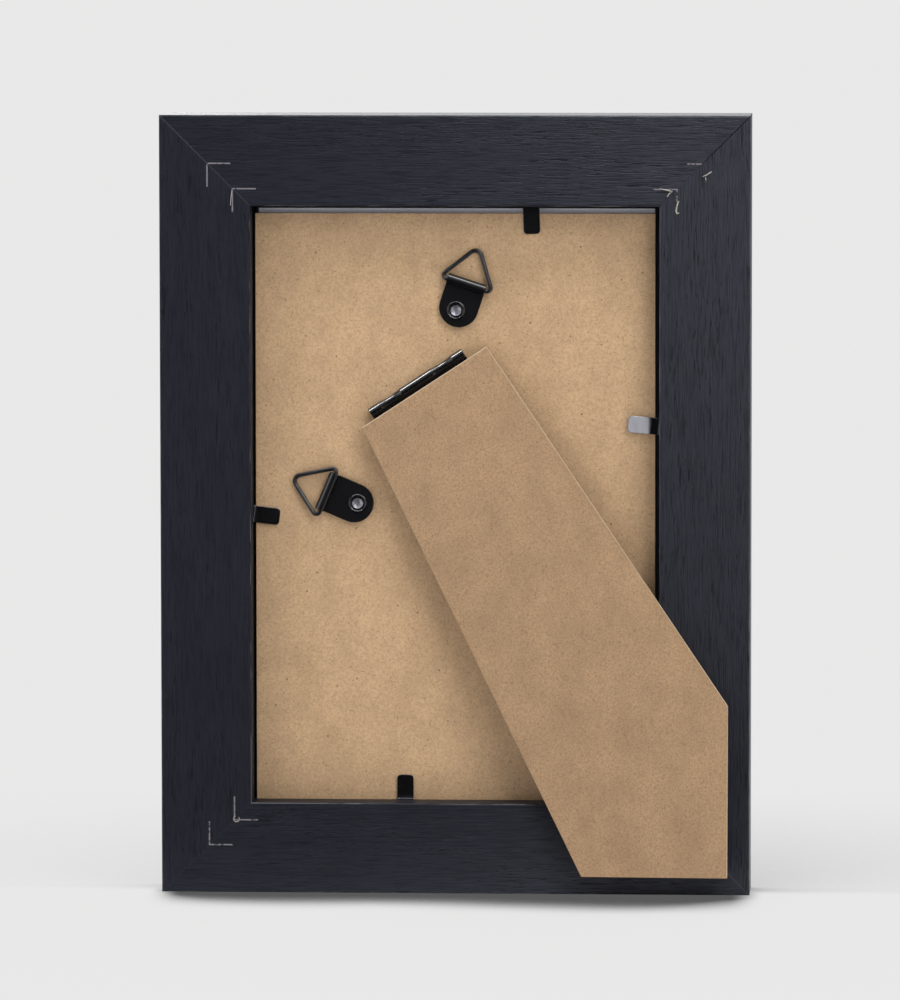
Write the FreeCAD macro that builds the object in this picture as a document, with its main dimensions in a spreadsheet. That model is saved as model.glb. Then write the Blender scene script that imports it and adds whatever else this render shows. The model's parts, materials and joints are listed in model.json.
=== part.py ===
import FreeCAD, Part
import math
import os
import Sketcher
from FreeCAD import Placement, Rotation, Vector

# Easel back photo frame for a 10 x 15 cm picture, in millimetres, +Z up.
# The origin is the middle of the bottom edge that the frame stands on, halfway through its depth.
# The back, with the leg, faces -Y and the picture faces +Y. X runs to the right as seen from behind.
# "Out" is the height of a place above the plane of the rails' back faces, negative inside the recess.

# Every size that can be set by itself: name, value and what it measures
SIZES = [
    ("opening_width", 105.0, "rabbet between the side rails' inner walls"),
    ("opening_height", 154.0, "rabbet between the top and bottom rails' inner walls"),
    ("rail_width", 23.4, "back face of a rail, from the outer edge to its inner wall"),
    ("frame_depth", 16.0, "depth of the moulding, back to front"),
    ("lip_reach", 5.0, "how far the front lip covers the glass edge"),
    ("lip_thickness", 3.0, "thickness of the front lip"),
    ("sight_bevel", 1.6, "bevel along the lip's inner edge"),
    ("arris_radius", 0.5, "rounding of the moulding's long edges"),
    ("glass_side_play", 1.4, "glass pane and card insert, narrower than the rabbet"),
    ("glass_end_play", 1.0, "glass pane and card insert, shorter than the rabbet"),
    ("glass_thickness", 2.0, "glass pane"),
    ("insert_thickness", 0.3, "card insert"),
    ("board_side_play", 2.0, "backing board, narrower than the rabbet"),
    ("board_end_play", 2.2, "backing board, shorter than the rabbet"),
    ("board_thickness", 2.5, "backing board"),
    ("board_side_shift", -0.3, "play taken up by the board in its rabbet"),
    ("nail_leg", 6.2, "leg of a V-nail, seen from behind"),
    ("nail_thickness", 0.35, "sheet of a V-nail"),
    ("nail_depth", 7.0, "how deep a V-nail is driven"),
    ("nail_outer_inset", 12.2, "corner of the outer V-nail from the frame's edges"),
    ("nail_inner_inset", 18.7, "corner of the inner V-nail from the frame's edges"),
    ("tab_width", 4.3, "flexible tab"),
    ("tab_thickness", 0.45, "flexible tab"),
    ("tab_length", 15.0, "whole tab, with the end held in the rail"),
    ("tab_tip_radius", 1.0, "rounded corners of a tab's tip"),
    ("tab_board_gap", 0.15, "air between a tab and the board"),
    ("tab_bend_offset", 0.6, "bend line from the rail's wall"),
    ("tab_bend_gap", 0.05, "split between the held end and the blade"),
    ("tab_top_place", 19.3, "top tab, to the right of the frame's centre"),
    ("tab_top_reach", 7.4, "top tab, from the wall to its tip"),
    ("tab_bottom_place", -13.3, "bottom tab, to the right of the frame's centre"),
    ("tab_bottom_reach", 6.5, "bottom tab, from the wall to its tip"),
    ("tab_left_place", -2.9, "left tab, above the frame's middle"),
    ("tab_left_reach", 6.9, "left tab, from the wall to its tip"),
    ("tab_right_place", 20.0, "right tab, above the frame's middle"),
    ("tab_right_reach", 8.4, "right tab, from the wall to its tip"),
    ("tab_kink_place", 2.4, "kink of the right tab, from the wall"),
    ("hinge_angle", 33.2, "slope of the hinge line, degrees"),
    ("hinge_length", 28.6, "length of the rolled hinge"),
    ("hinge_lift", 1.5, "hinge axis above the board"),
    ("hinge_sheet", 0.5, "sheet of both hinge leaves"),
    ("bead_radius", 0.8, "rolled bead of the board leaf"),
    ("bead_clearance", 0.1, "running clearance between bead and barrel"),
    ("leaf_depth", 14.0, "leaf, from the hinge axis to its free edge"),
    ("web_run", 1.9, "flat of the board leaf beside the bead"),
    ("web_drop_run", 1.2, "slope of the board leaf down to the board"),
    ("crimp_spacing", 15.8, "between the two crimps of the barrel"),
    ("crimp_length", 6.4, "one crimp, along the barrel"),
    ("crimp_depth", 0.3, "one crimp, into the barrel"),
    ("prong_width", 2.4, "pressed prong, at its root"),
    ("prong_length", 1.9, "pressed prong, into the board or leg"),
    ("prong_spacing", 19.0, "between the two prongs of a row"),
    ("prong_first_row", 5.6, "first row of prongs from the hinge axis"),
    ("prong_row_pitch", 4.6, "from one row of prongs to the next"),
    ("leg_face_lift", 0.4, "leg's inner face above the hinge axis"),
    ("leg_thickness", 2.8, "easel leg"),
    ("leg_top_gap", 0.5, "between the barrel and the leg's top edge"),
    ("leg_top_width", 38.0, "leg's top edge"),
    ("leg_side_shift", 1.2, "middle of the leg's top edge from the middle of the hinge"),
    ("leg_toe_rise", 4.95, "folded leg's toe above the frame's bottom edge"),
    ("leg_toe_shift", -1.9, "toe from the middle of the hinge, along the hinge line"),
    ("leg_bottom_edge", 37.4, "foot edge that is parallel to the frame's bottom"),
    ("leg_side_edge", 44.1, "foot edge that is parallel to the frame's side"),
    ("leg_rest_gap", 0.15, "air between the closed leg and the rail that it rests on"),
    ("leg_open_angle", 33.0, "opened leg from the frame's back, degrees"),
    ("strap_width", 10.1, "folded hanger strap"),
    ("upper_strap_shift", 0.45, "middle of the upper strap beside its rivet"),
    ("side_strap_shift", -0.3, "middle of the side strap beside its rivet"),
    ("strap_sheet", 0.5, "sheet of a hanger strap"),
    ("strap_fold_gap", 0.1, "seam between the strap's two layers"),
    ("strap_lift", 0.1, "running gap between strap and board"),
    ("strap_end_offset", 0.9, "middle of the strap's round end from the rivet"),
    ("upper_loop_distance", 7.35, "upper rivet to the middle of its strap's loop"),
    ("side_loop_distance", 8.4, "side rivet to the middle of its strap's loop"),
    ("ring_wire_radius", 0.55, "bent wire ring"),
    ("ring_clearance", 0.3, "clearance of the ring in the strap's loop"),
    ("ring_slack", 0.25, "how far the ring lies off the loop's middle, towards the rivet"),
    ("side_ring_slip", -0.25, "how far the side ring has slipped along its loop"),
    ("ring_base", 10.7, "straight part of the ring's base"),
    ("ring_height", 9.2, "ring's base to its point, between wire centres"),
    ("ring_bend_radius", 0.95, "bends at the ring's base, at the wire's centre"),
    ("ring_point_radius", 1.6, "bend at the ring's point, at the wire's centre"),
    ("ring_end_gap", 0.2, "between the wire's two ends, inside the loop"),
    ("rivet_radius", 1.3, "rivet's shank"),
    ("rivet_hole_gap", 0.1, "running gap between strap and shank"),
    ("rivet_fit_gap", 0.03, "gap between board and shank"),
    ("rivet_rim_radius", 2.4, "rivet's rolled rim"),
    ("rivet_rim_width", 0.55, "rivet's rolled rim, from outside to inside"),
    ("rivet_rim_height", 0.5, "rivet's rolled rim above the strap"),
    ("rivet_rim_bevel", 0.16, "bevels along the rivet's rolled rim"),
    ("rivet_floor", 0.15, "sunk floor inside the rim, above the strap"),
    ("rivet_dome_radius", 1.5, "rivet's middle dome"),
    ("rivet_dome_rise", 0.42, "rivet's middle dome above the sunk floor"),
    ("rivet_tail_radius", 2.1, "clinched tail in the board's front"),
    ("rivet_tail_height", 0.4, "clinched tail in the board's front"),
    ("cut_overrun", 1.0, "how far a cut runs past what it cuts"),
]

# Turns, in degrees
UPPER_HANGER_TURN = -18.0
SIDE_HANGER_TURN = 67.0
TOP_TAB_SLANT = 2.0
LEFT_TAB_SLANT = -6.8
RIGHT_TAB_SLANT = -5.8
TAB_KINK = 12.0
HINGE_STOP_MARGIN = 2.5
FULL_TURN = 360.0
HALF_TURN = 180.0
QUARTER_TURN = 90.0

# Places on the board: the hinge's middle, to the right of the centre and above the opening's bottom,
# and each rivet from the wall that its ring points to, as shares of the opening's width or height
HINGE_SIDE_SHARE = -0.0948
HINGE_HEIGHT_SHARE = 0.702
UPPER_RIVET_SHARE = 0.176
SIDE_RIVET_SHARE = 0.2575

# Sides of the polygon that stands for the ring's round wire
WIRE_SIDES = 12

AXIS_X = Vector(1, 0, 0)
AXIS_Y = Vector(0, 1, 0)
AXIS_Z = Vector(0, 0, 1)

# Two points nearer than this are the same point
SAME_PLACE = 1e-5

document = FreeCAD.newDocument("easel_back_photo_frame")
sheet = document.addObject("Spreadsheet::Sheet", "Sizes")
for row, (name, value, meaning) in enumerate(SIZES, start=1):
    sheet.set(f"A{row}", meaning)
    sheet.set(f"B{row}", str(value))
    sheet.setAlias(f"B{row}", name)
document.recompute()


class Size:
    """A size that knows its value and the formula that ties it to the sheet."""

    def __init__(self, amount, formula):
        self.value = amount
        self.formula = formula

    def __float__(self):
        return float(self.value)

    def __neg__(self):
        return Size(-self.value, f"(-{self.formula})")

    def __add__(self, other):
        return Size(self.value + float(other), f"({self.formula} + {formula_of(other)})")

    def __radd__(self, other):
        return Size(float(other) + self.value, f"({formula_of(other)} + {self.formula})")

    def __sub__(self, other):
        return Size(self.value - float(other), f"({self.formula} - {formula_of(other)})")

    def __rsub__(self, other):
        return Size(float(other) - self.value, f"({formula_of(other)} - {self.formula})")

    def __mul__(self, other):
        return Size(self.value * float(other), f"({self.formula} * {formula_of(other)})")

    def __rmul__(self, other):
        return self * other

    def __truediv__(self, other):
        return Size(self.value / float(other), f"({self.formula} / {formula_of(other)})")


def formula_of(quantity):
    return quantity.formula if isinstance(quantity, Size) else f"({float(quantity)!r})"


def sine(angle):
    return Size(math.sin(math.radians(angle.value)), f"sin({angle.formula})")


def cosine(angle):
    return Size(math.cos(math.radians(angle.value)), f"cos({angle.formula})")


def hypotenuse(first, second):
    return Size(math.hypot(first.value, second.value), f"sqrt({first.formula}^2 + {second.formula}^2)")


def other_leg(slant, leg):
    """Third side of a right triangle, from its slanted side and one leg."""
    return Size(math.sqrt(slant.value ** 2 - leg.value ** 2), f"sqrt({slant.formula}^2 - {leg.formula}^2)")


class NamedSizes:
    """The sheet's cells by their names."""

    def __getattr__(self, wanted):
        return Size(float(getattr(sheet, wanted)), f"Sizes.{wanted}")


s = NamedSizes()

# Sizes that follow from the named ones
frame_width = s.opening_width + 2 * s.rail_width
frame_height = s.opening_height + 2 * s.rail_width
recess = s.frame_depth - s.lip_thickness - s.glass_thickness - s.insert_thickness - s.board_thickness
opening_top = s.rail_width + s.opening_height
glass_width = s.opening_width - s.glass_side_play
glass_height = s.opening_height - s.glass_end_play
board_width = s.opening_width - s.board_side_play
board_height = s.opening_height - s.board_end_play
hinge_side = HINGE_SIDE_SHARE * s.opening_width
hinge_height = s.rail_width + HINGE_HEIGHT_SHARE * s.opening_height
barrel_inner = s.bead_radius + s.bead_clearance
barrel_outer = barrel_inner + s.hinge_sheet
loop_inner = s.ring_wire_radius + s.ring_clearance
loop_outer = loop_inner + s.strap_sheet
loop_lift = s.strap_lift + loop_outer
strap_top = s.strap_lift + 2 * s.strap_sheet + s.strap_fold_gap
tab_out = s.tab_board_gap + s.tab_thickness / 2 - recess

# Rivet places on the back, side and height
UPPER_RIVET = (0, opening_top - UPPER_RIVET_SHARE * s.opening_height)
SIDE_RIVET = (SIDE_RIVET_SHARE * s.opening_width - s.opening_width / 2, frame_height / 2)

# Each tab: wall point (side, height), turn that points it into the opening, reach and kink
TABS = {
    "top": ((s.tab_top_place, opening_top), HALF_TURN + TOP_TAB_SLANT, s.tab_top_reach, 0.0),
    "bottom": ((s.tab_bottom_place, s.rail_width), 0.0, s.tab_bottom_reach, 0.0),
    "left": ((-s.opening_width / 2, frame_height / 2 + s.tab_left_place), LEFT_TAB_SLANT - QUARTER_TURN,
             s.tab_left_reach, 0.0),
    "right": ((s.opening_width / 2, frame_height / 2 + s.tab_right_place), QUARTER_TURN + RIGHT_TAB_SLANT,
              s.tab_right_reach, TAB_KINK),
}


def bind(thing, **sizes):
    """Ties the thing's properties to formulas of the sheet."""
    for label, size in sizes.items():
        thing.setExpression(label, formula_of(size))


def moved(aside, ahead=0, out=0):
    """A shift within a piece's own axes."""
    return Placement(Vector(float(aside), float(ahead), float(out)), Rotation())


def on_back(side, height, out, turn=0.0, tilt=0.0):
    """A place on the frame's back whose local Z points out of it. The local XY plane is turned
    anticlockwise by turn as seen from behind, then its -Y side is tipped out by tilt."""
    base = Vector(float(side), -float(s.frame_depth) / 2 - float(out), float(height))
    facing = Rotation(AXIS_X, QUARTER_TURN)
    return Placement(base, facing * Rotation(AXIS_Z, turn) * Rotation(AXIS_X, -tilt))


def new_body(label, place=Placement()):
    body = document.addObject("PartDesign::Body", label)
    body.Label = label
    body.Placement = place
    return body


def new_sketch(body, plane, shift=None):
    """A sketch on one of the body's origin planes, moved along the plane's normal by shift."""
    support = [face for face in body.Origin.OriginFeatures if face.Role == plane][0]
    drawing = body.newObject("Sketcher::SketchObject", f"{body.Label}_sketch")
    drawing.AttachmentSupport = [(support, "")]
    drawing.MapMode = "FlatFace"
    if shift is not None:
        drawing.setExpression(".AttachmentOffset.Base.z", formula_of(shift))
    return drawing


def fix_point(drawing, edge, end, point):
    """Holds one end of an edge at point, by dimensions that follow the sheet."""
    for kind, axis, distance in (("DistanceX", -2, point[0]), ("DistanceY", -1, point[1])):
        if not isinstance(distance, Size):
            drawing.addConstraint(Sketcher.Constraint("PointOnObject", edge, end, axis))
            continue
        index = drawing.addConstraint(Sketcher.Constraint(kind, -1, 1, edge, end, distance.value))
        drawing.setExpression(f"Constraints[{index}]", distance.formula)


def fix_radius(drawing, edge, radius):
    index = drawing.addConstraint(Sketcher.Constraint("Radius", edge, abs(float(radius))))
    drawing.setExpression(f"Constraints[{index}]", radius.formula)


def arc_between(start, end, radius, left_turn):
    """The shorter arc of a circle from start to end, turning left or right on its way."""
    chord = end - start
    height = math.sqrt(max(radius ** 2 - (chord.Length / 2) ** 2, 0))
    aside = Vector(-chord.y, chord.x, 0).normalize()
    centre = start + chord / 2 + aside * (height if left_turn else -height)
    first, last = (start - centre, end - centre) if left_turn else (end - centre, start - centre)
    begin = math.atan2(first.y, first.x)
    finish = math.atan2(last.y, last.x)
    return Part.ArcOfCircle(Part.Circle(centre, AXIS_Z, radius), begin, finish)


def outline(drawing, corners, closed=True):
    """Edges from corner to corner. A corner is (x, y), or (x, y, turn, radius) where an arc leads on
    to the next corner, with the turn "left" or "right"."""
    count = len(corners) if closed else len(corners) - 1
    edges = []
    for number in range(count):
        here = corners[number]
        there = corners[(number + 1) % len(corners)]
        start = Vector(float(here[0]), float(here[1]), 0)
        end = Vector(float(there[0]), float(there[1]), 0)
        if len(here) == 2:
            edge = drawing.addGeometry(Part.LineSegment(start, end), False)
            edges.append((edge, 1, 2))
            continue
        left_turn = here[2] == "left"
        edge = drawing.addGeometry(arc_between(start, end, float(here[3]), left_turn), False)
        edges.append((edge, 1, 2) if left_turn else (edge, 2, 1))
        fix_radius(drawing, edge, here[3])
    for number, (edge, first, last) in enumerate(edges):
        fix_point(drawing, edge, first, corners[number])
        if number + 1 < len(edges) or closed:
            follower, follower_first, _ = edges[(number + 1) % len(edges)]
            drawing.addConstraint(Sketcher.Constraint("Coincident", edge, last, follower, follower_first))
        else:
            fix_point(drawing, edge, last, corners[number + 1])


def rectangle(drawing, low_x, low_y, high_x, high_y):
    outline(drawing, [(low_x, low_y), (high_x, low_y), (high_x, high_y), (low_x, high_y)])


def circle(drawing, x, y, radius):
    centre = Vector(float(x), float(y), 0)
    edge = drawing.addGeometry(Part.Circle(centre, AXIS_Z, float(radius)), False)
    fix_point(drawing, edge, 3, (x, y))
    fix_radius(drawing, edge, radius)


def polygon(drawing, radius, sides):
    """A regular polygon about the sketch's origin, its corners at the given radius."""
    turns = [math.radians((number + 1 / 2) * FULL_TURN / sides) for number in range(sides)]
    outline(drawing, [(radius * math.cos(turn), radius * math.sin(turn)) for turn in turns])


def pad(body, drawing, length, both_ways=False, reverse=False):
    feature = body.newObject("PartDesign::Pad", f"{body.Label}_pad")
    feature.Profile = drawing
    feature.SideType = "Symmetric" if both_ways else "One side"
    feature.Reversed = reverse
    bind(feature, Length=length)
    document.recompute()
    return feature


def pocket(body, drawing, depth=None, reverse=False):
    """Cuts the drawing's areas out of the body, to a depth or right through both ways."""
    before = body.Shape.Volume
    feature = body.newObject("PartDesign::Pocket", f"{body.Label}_pocket")
    feature.Profile = drawing
    feature.Reversed = reverse
    if depth is None:
        feature.Type = "ThroughAll"
        feature.SideType = "Symmetric"
    else:
        bind(feature, Length=depth)
    document.recompute()
    if not feature.Shape.Volume < before:
        raise RuntimeError(f"a pocket in {body.Label} cuts nothing")
    return feature


def revolve(body, drawing, axis, angle=FULL_TURN, reverse=False):
    """Turns the drawing about its own horizontal or vertical axis."""
    feature = body.newObject("PartDesign::Revolution", f"{body.Label}_turned")
    feature.Profile = drawing
    feature.ReferenceAxis = (drawing, [axis])
    feature.Angle = angle
    feature.Reversed = reverse
    document.recompute()
    return feature


def round_edges(body, base, radius, wanted):
    """Rounds those edges of the base feature whose two ends pass the test wanted."""
    names = []
    for number, edge in enumerate(base.Shape.Edges, start=1):
        ends = [vertex.Point for vertex in edge.Vertexes]
        if len(ends) == 2 and wanted(*ends):
            names.append(f"Edge{number}")
    feature = body.newObject("PartDesign::Fillet", f"{body.Label}_rounded")
    feature.Base = (base, names)
    bind(feature, Radius=radius)
    document.recompute()
    return feature


def near(first, second):
    return abs(first - float(second)) < SAME_PLACE


def without(label, base, tools):
    """The base with the room that its neighbours' solids need cut out of it."""
    group = document.addObject("Part::Compound", f"{label}_room")
    group.Links = tools
    cut = document.addObject("Part::Cut", label)
    cut.Label = label
    cut.Base = base
    cut.Tool = group
    document.recompute()
    return cut


def moulding(label, length, place):
    """One mitred length of rail. It lies along X with its outer edge at Z = 0, and its back at -Y."""
    body = new_body(label, place)
    back = -s.frame_depth / 2
    front = s.frame_depth / 2
    reach = s.rail_width + s.lip_reach
    profile = new_sketch(body, "YZ_Plane")
    outline(profile, [
        (back, 0),
        (front, 0),
        (front, reach - s.sight_bevel),
        (front - s.sight_bevel, reach),
        (front - s.lip_thickness, reach),
        (front - s.lip_thickness, s.rail_width),
        (back, s.rail_width),
    ])
    bar = pad(body, profile, length, both_ways=True)

    def is_arris(start, end):
        corners = ((back, 0), (front, 0), (back, s.rail_width))
        return any(near(start.y, y) and near(end.y, y) and near(start.z, z) and near(end.z, z)
                   for y, z in corners)

    round_edges(body, bar, s.arris_radius, is_arris)
    mitres = new_sketch(body, "XZ_Plane")
    for side in (-1, 1):
        outline(mitres, [
            (side * (length / 2 + s.cut_overrun), -s.cut_overrun),
            (side * (length / 2 + s.cut_overrun), reach + s.cut_overrun),
            (side * (length / 2 - reach - s.cut_overrun), reach + s.cut_overrun),
        ])
    pocket(body, mitres)
    return body


def corner_nails(label, side, height, turn):
    """The two V-nails of one corner, flush with the back, their corners on the mitre."""
    body = new_body(label, on_back(side, height, 0, turn))
    drawing = new_sketch(body, "XY_Plane")
    for inset in (s.nail_outer_inset, s.nail_inner_inset):
        inner = inset + s.nail_thickness
        end = inset + s.nail_leg
        outline(drawing, [
            (inset, -inset),
            (inset, -end),
            (inner, -end),
            (inner, -inner),
            (end, -inner),
            (end, -inset),
        ])
    pad(body, drawing, s.nail_depth, reverse=True)
    return body


def flat_sheet(label, width, height, thickness, place):
    """A cut sheet that stands on its bottom edge."""
    body = new_body(label, place)
    drawing = new_sketch(body, "XY_Plane")
    rectangle(drawing, -width / 2, 0, width / 2, height)
    pad(body, drawing, thickness)
    return body


def backing_board(board_leaf):
    """The board with its two riveted holes and the slits of the hinge's prongs."""
    front = -recess - s.board_thickness
    body = flat_sheet("backing_board_blank", board_width, board_height, s.board_thickness,
                      on_back(s.board_side_shift, s.rail_width, front))
    holes = new_sketch(body, "XY_Plane")
    sinks = new_sketch(body, "XY_Plane")
    for side, height in (UPPER_RIVET, SIDE_RIVET):
        place = (side - s.board_side_shift, height - s.rail_width)
        circle(holes, *place, s.rivet_radius + s.rivet_fit_gap)
        circle(sinks, *place, s.rivet_tail_radius + s.rivet_fit_gap)
    pocket(body, holes)
    pocket(body, sinks, s.rivet_tail_height, reverse=True)
    return without("backing_board", body, [board_leaf])


def tab_place(name):
    """Bend line of a tab, on the tab's own slant."""
    (side, height), turn, _, _ = TABS[name]
    wall = on_back(side, height, tab_out, turn)
    return wall * Placement(Vector(0, float(s.tab_bend_offset), 0), Rotation())


def tab_anchor(name):
    """The end of a tab that is shot into the rail's wall."""
    reach = TABS[name][2]
    body = new_body(f"tab_{name}_anchor", tab_place(name))
    drawing = new_sketch(body, "XY_Plane")
    split = -s.tab_thickness / 2 - s.tab_bend_gap
    rectangle(drawing, -s.tab_width / 2, reach - s.tab_length, s.tab_width / 2, split)
    pad(body, drawing, s.tab_thickness, both_ways=True)
    return body


def tab_blade(name):
    """The end of a tab that bends up. Its root is round about the bend line."""
    _, _, reach, kink = TABS[name]
    body = new_body(f"tab_{name}_blade", tab_place(name))
    half = s.tab_thickness / 2
    root = [(0, half, "left", half), (-half, 0, "left", half)]
    tip = reach - s.tab_bend_offset
    if kink:
        rise = Size(math.sin(math.radians(kink)), f"sin({kink})")
        run = Size(math.cos(math.radians(kink)), f"cos({kink})")
        bend = s.tab_kink_place - s.tab_bend_offset
        length = tip - bend
        side = root + [
            (0, -half),
            (bend + half * rise, -half),
            (bend + length * run + half * rise, length * rise - half * run),
            (bend + length * run - half * rise, length * rise + half * run),
            (bend - half * rise, half),
        ]
    else:
        side = root + [(0, -half), (tip, -half), (tip, half)]
    profile = new_sketch(body, "YZ_Plane")
    outline(profile, side)
    strip = pad(body, profile, s.tab_width, both_ways=True)

    def is_tip_corner(start, end):
        at_side = near(abs(start.x), s.tab_width / 2) and near(start.x, end.x)
        return at_side and min(start.y, end.y) > float(tip) - 2 * float(half)

    round_edges(body, strip, s.tab_tip_radius, is_tip_corner)
    return body


def crimped_line(radius):
    """Corners of a lengthwise line at the given radius, right to left, that dips at both crimps."""
    dent = (s.crimp_length * s.crimp_length / 4 + s.crimp_depth * s.crimp_depth) / (2 * s.crimp_depth)
    corners = [(s.hinge_length / 2, -radius)]
    for middle in (s.crimp_spacing / 2, -s.crimp_spacing / 2):
        corners.append((middle + s.crimp_length / 2, -radius, "left", dent))
        corners.append((middle - s.crimp_length / 2, -radius))
    corners.append((-s.hinge_length / 2, -radius))
    return corners


def reversed_line(corners):
    """The same line left to right: arcs then start at their other end and turn the other way."""
    turned = []
    for number in range(len(corners) - 1, -1, -1):
        point = corners[number][:2]
        before = corners[number - 1] if number else ()
        if len(before) == 4:
            point += ("right" if before[2] == "left" else "left", before[3])
        turned.append(point)
    return turned


def hinge_place(tilt=0.0):
    """The hinge axis: local X runs up along it and local -Y points down the leg."""
    return on_back(hinge_side, hinge_height, s.hinge_lift - recess, float(s.hinge_angle), tilt)


def prongs(body, face, away):
    """Two rows of prongs cut out of a leaf and bent away from its face, with the windows they leave."""
    depth = s.prong_length if away > 0 else -s.prong_length
    root = -s.hinge_sheet if away > 0 else s.hinge_sheet
    windows = new_sketch(body, "XY_Plane")
    for row in range(2):
        line = s.prong_first_row + row * s.prong_row_pitch
        for side in (-1, 1):
            middle = side * s.prong_spacing / 2
            rectangle(windows, middle - s.prong_width / 2, -line - s.prong_length,
                      middle + s.prong_width / 2, -line)
    pocket(body, windows)
    for row in range(2):
        line = s.prong_first_row + row * s.prong_row_pitch
        teeth = new_sketch(body, "XZ_Plane", line)
        for side in (-1, 1):
            middle = side * s.prong_spacing / 2
            outline(teeth, [
                (middle - s.prong_width / 2, face + root),
                (middle + s.prong_width / 2, face + root),
                (middle + s.prong_width / 2, face),
                (middle, face + depth),
                (middle - s.prong_width / 2, face),
            ])
        pad(body, teeth, s.hinge_sheet)


def hinge_board_leaf():
    """Leaf on the board. Its bead turns inside the barrel, and windows clear the barrel's crimps."""
    body = new_body("hinge_board_leaf", hinge_place())
    low = -s.hinge_lift
    profile = new_sketch(body, "YZ_Plane")
    foot = s.web_run + s.web_drop_run
    outline(profile, [
        (0, -s.bead_radius),
        (0, s.hinge_sheet - s.bead_radius),
        (-s.web_run, s.hinge_sheet - s.bead_radius),
        (-foot, low + s.hinge_sheet),
        (-s.leaf_depth, low + s.hinge_sheet),
        (-s.leaf_depth, low),
        (-foot, low),
        (-s.web_run, -s.bead_radius),
    ])
    pad(body, profile, s.hinge_length, both_ways=True)
    windows = new_sketch(body, "XY_Plane")
    for middle in (-s.crimp_spacing / 2, s.crimp_spacing / 2):
        half = s.crimp_length / 2 + s.bead_clearance
        rectangle(windows, middle - half, -s.web_run, middle + half, s.cut_overrun)
    pocket(body, windows)
    prongs(body, low, -1)
    bead = new_sketch(body, "XY_Plane")
    outline(bead, [(-s.hinge_length / 2, 0), (s.hinge_length / 2, 0)] + crimped_line(s.bead_radius))
    revolve(body, bead, "H_Axis")
    return body


def barrel_wrap():
    """How far the barrel is rolled round the bead: its free edge meets the web just past the
    leg's open limit."""
    web_edge = math.degrees(math.asin(float(s.bead_radius) / float(barrel_inner)))
    return FULL_TURN - web_edge - float(s.leg_open_angle) - HINGE_STOP_MARGIN


def hinge_leg_leaf():
    """Leaf on the leg. Its top edge is rolled into the crimped barrel."""
    body = new_body("hinge_leg_leaf", hinge_place(closed_tilt()))
    profile = new_sketch(body, "YZ_Plane")
    root = barrel_inner + s.hinge_sheet / 2
    rectangle(profile, -s.leaf_depth, s.leg_face_lift - s.hinge_sheet, -root, s.leg_face_lift)
    pad(body, profile, s.hinge_length, both_ways=True)
    prongs(body, s.leg_face_lift, 1)
    barrel = new_sketch(body, "XY_Plane")
    outline(barrel, crimped_line(barrel_outer) + reversed_line(crimped_line(barrel_inner)))
    revolve(body, barrel, "H_Axis", barrel_wrap(), reverse=True)
    return body


def leg_corners():
    """The leg's outline in the hinge's plane. The two foot edges are parallel to the frame's edges."""
    top = -barrel_outer - s.leg_top_gap
    across, up = cosine(s.hinge_angle), sine(s.hinge_angle)
    toe = (s.leg_toe_shift, (s.leg_toe_rise - hinge_height - s.leg_toe_shift * up) / across)
    return {
        "top_left": (s.leg_side_shift - s.leg_top_width / 2, top),
        "heel": (toe[0] - s.leg_bottom_edge * across, toe[1] + s.leg_bottom_edge * up),
        "toe": toe,
        "side": (toe[0] + s.leg_side_edge * up, toe[1] + s.leg_side_edge * across),
        "top_right": (s.leg_side_shift + s.leg_top_width / 2, top),
    }


def rest_distance():
    """How far down the leg, from the hinge axis, an edge of it first crosses a rail's inner wall."""
    angle = math.radians(float(s.hinge_angle))
    corners = {key: (float(x), float(y)) for key, (x, y) in leg_corners().items()}

    def side_of(point):
        return float(hinge_side) + point[0] * math.cos(angle) - point[1] * math.sin(angle)

    def height_of(point):
        return float(hinge_height) + point[0] * math.sin(angle) + point[1] * math.cos(angle)

    def crossing(start, end, measure, wall):
        share = (wall - measure(start)) / (measure(end) - measure(start))
        return -(start[1] + share * (end[1] - start[1]))

    return min(
        crossing(corners["top_right"], corners["side"], side_of, float(s.opening_width) / 2),
        crossing(corners["top_left"], corners["heel"], height_of, float(s.rail_width)),
    )


def closed_tilt():
    """Tilt at which the folded leg lies on the inner edge of the rail."""
    reach = rest_distance()
    lift = float(s.leg_face_lift)
    rise = float(s.leg_rest_gap) + float(recess) - float(s.hinge_lift)
    return math.degrees(math.asin(rise / math.hypot(reach, lift)) - math.atan2(lift, reach))


def easel_leg(leg_leaf):
    body = new_body("easel_leg_blank", hinge_place(closed_tilt()))
    drawing = new_sketch(body, "XY_Plane", s.leg_face_lift)
    outline(drawing, list(leg_corners().values()))
    pad(body, drawing, s.leg_thickness)
    return without("easel_leg", body, [leg_leaf])


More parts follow.
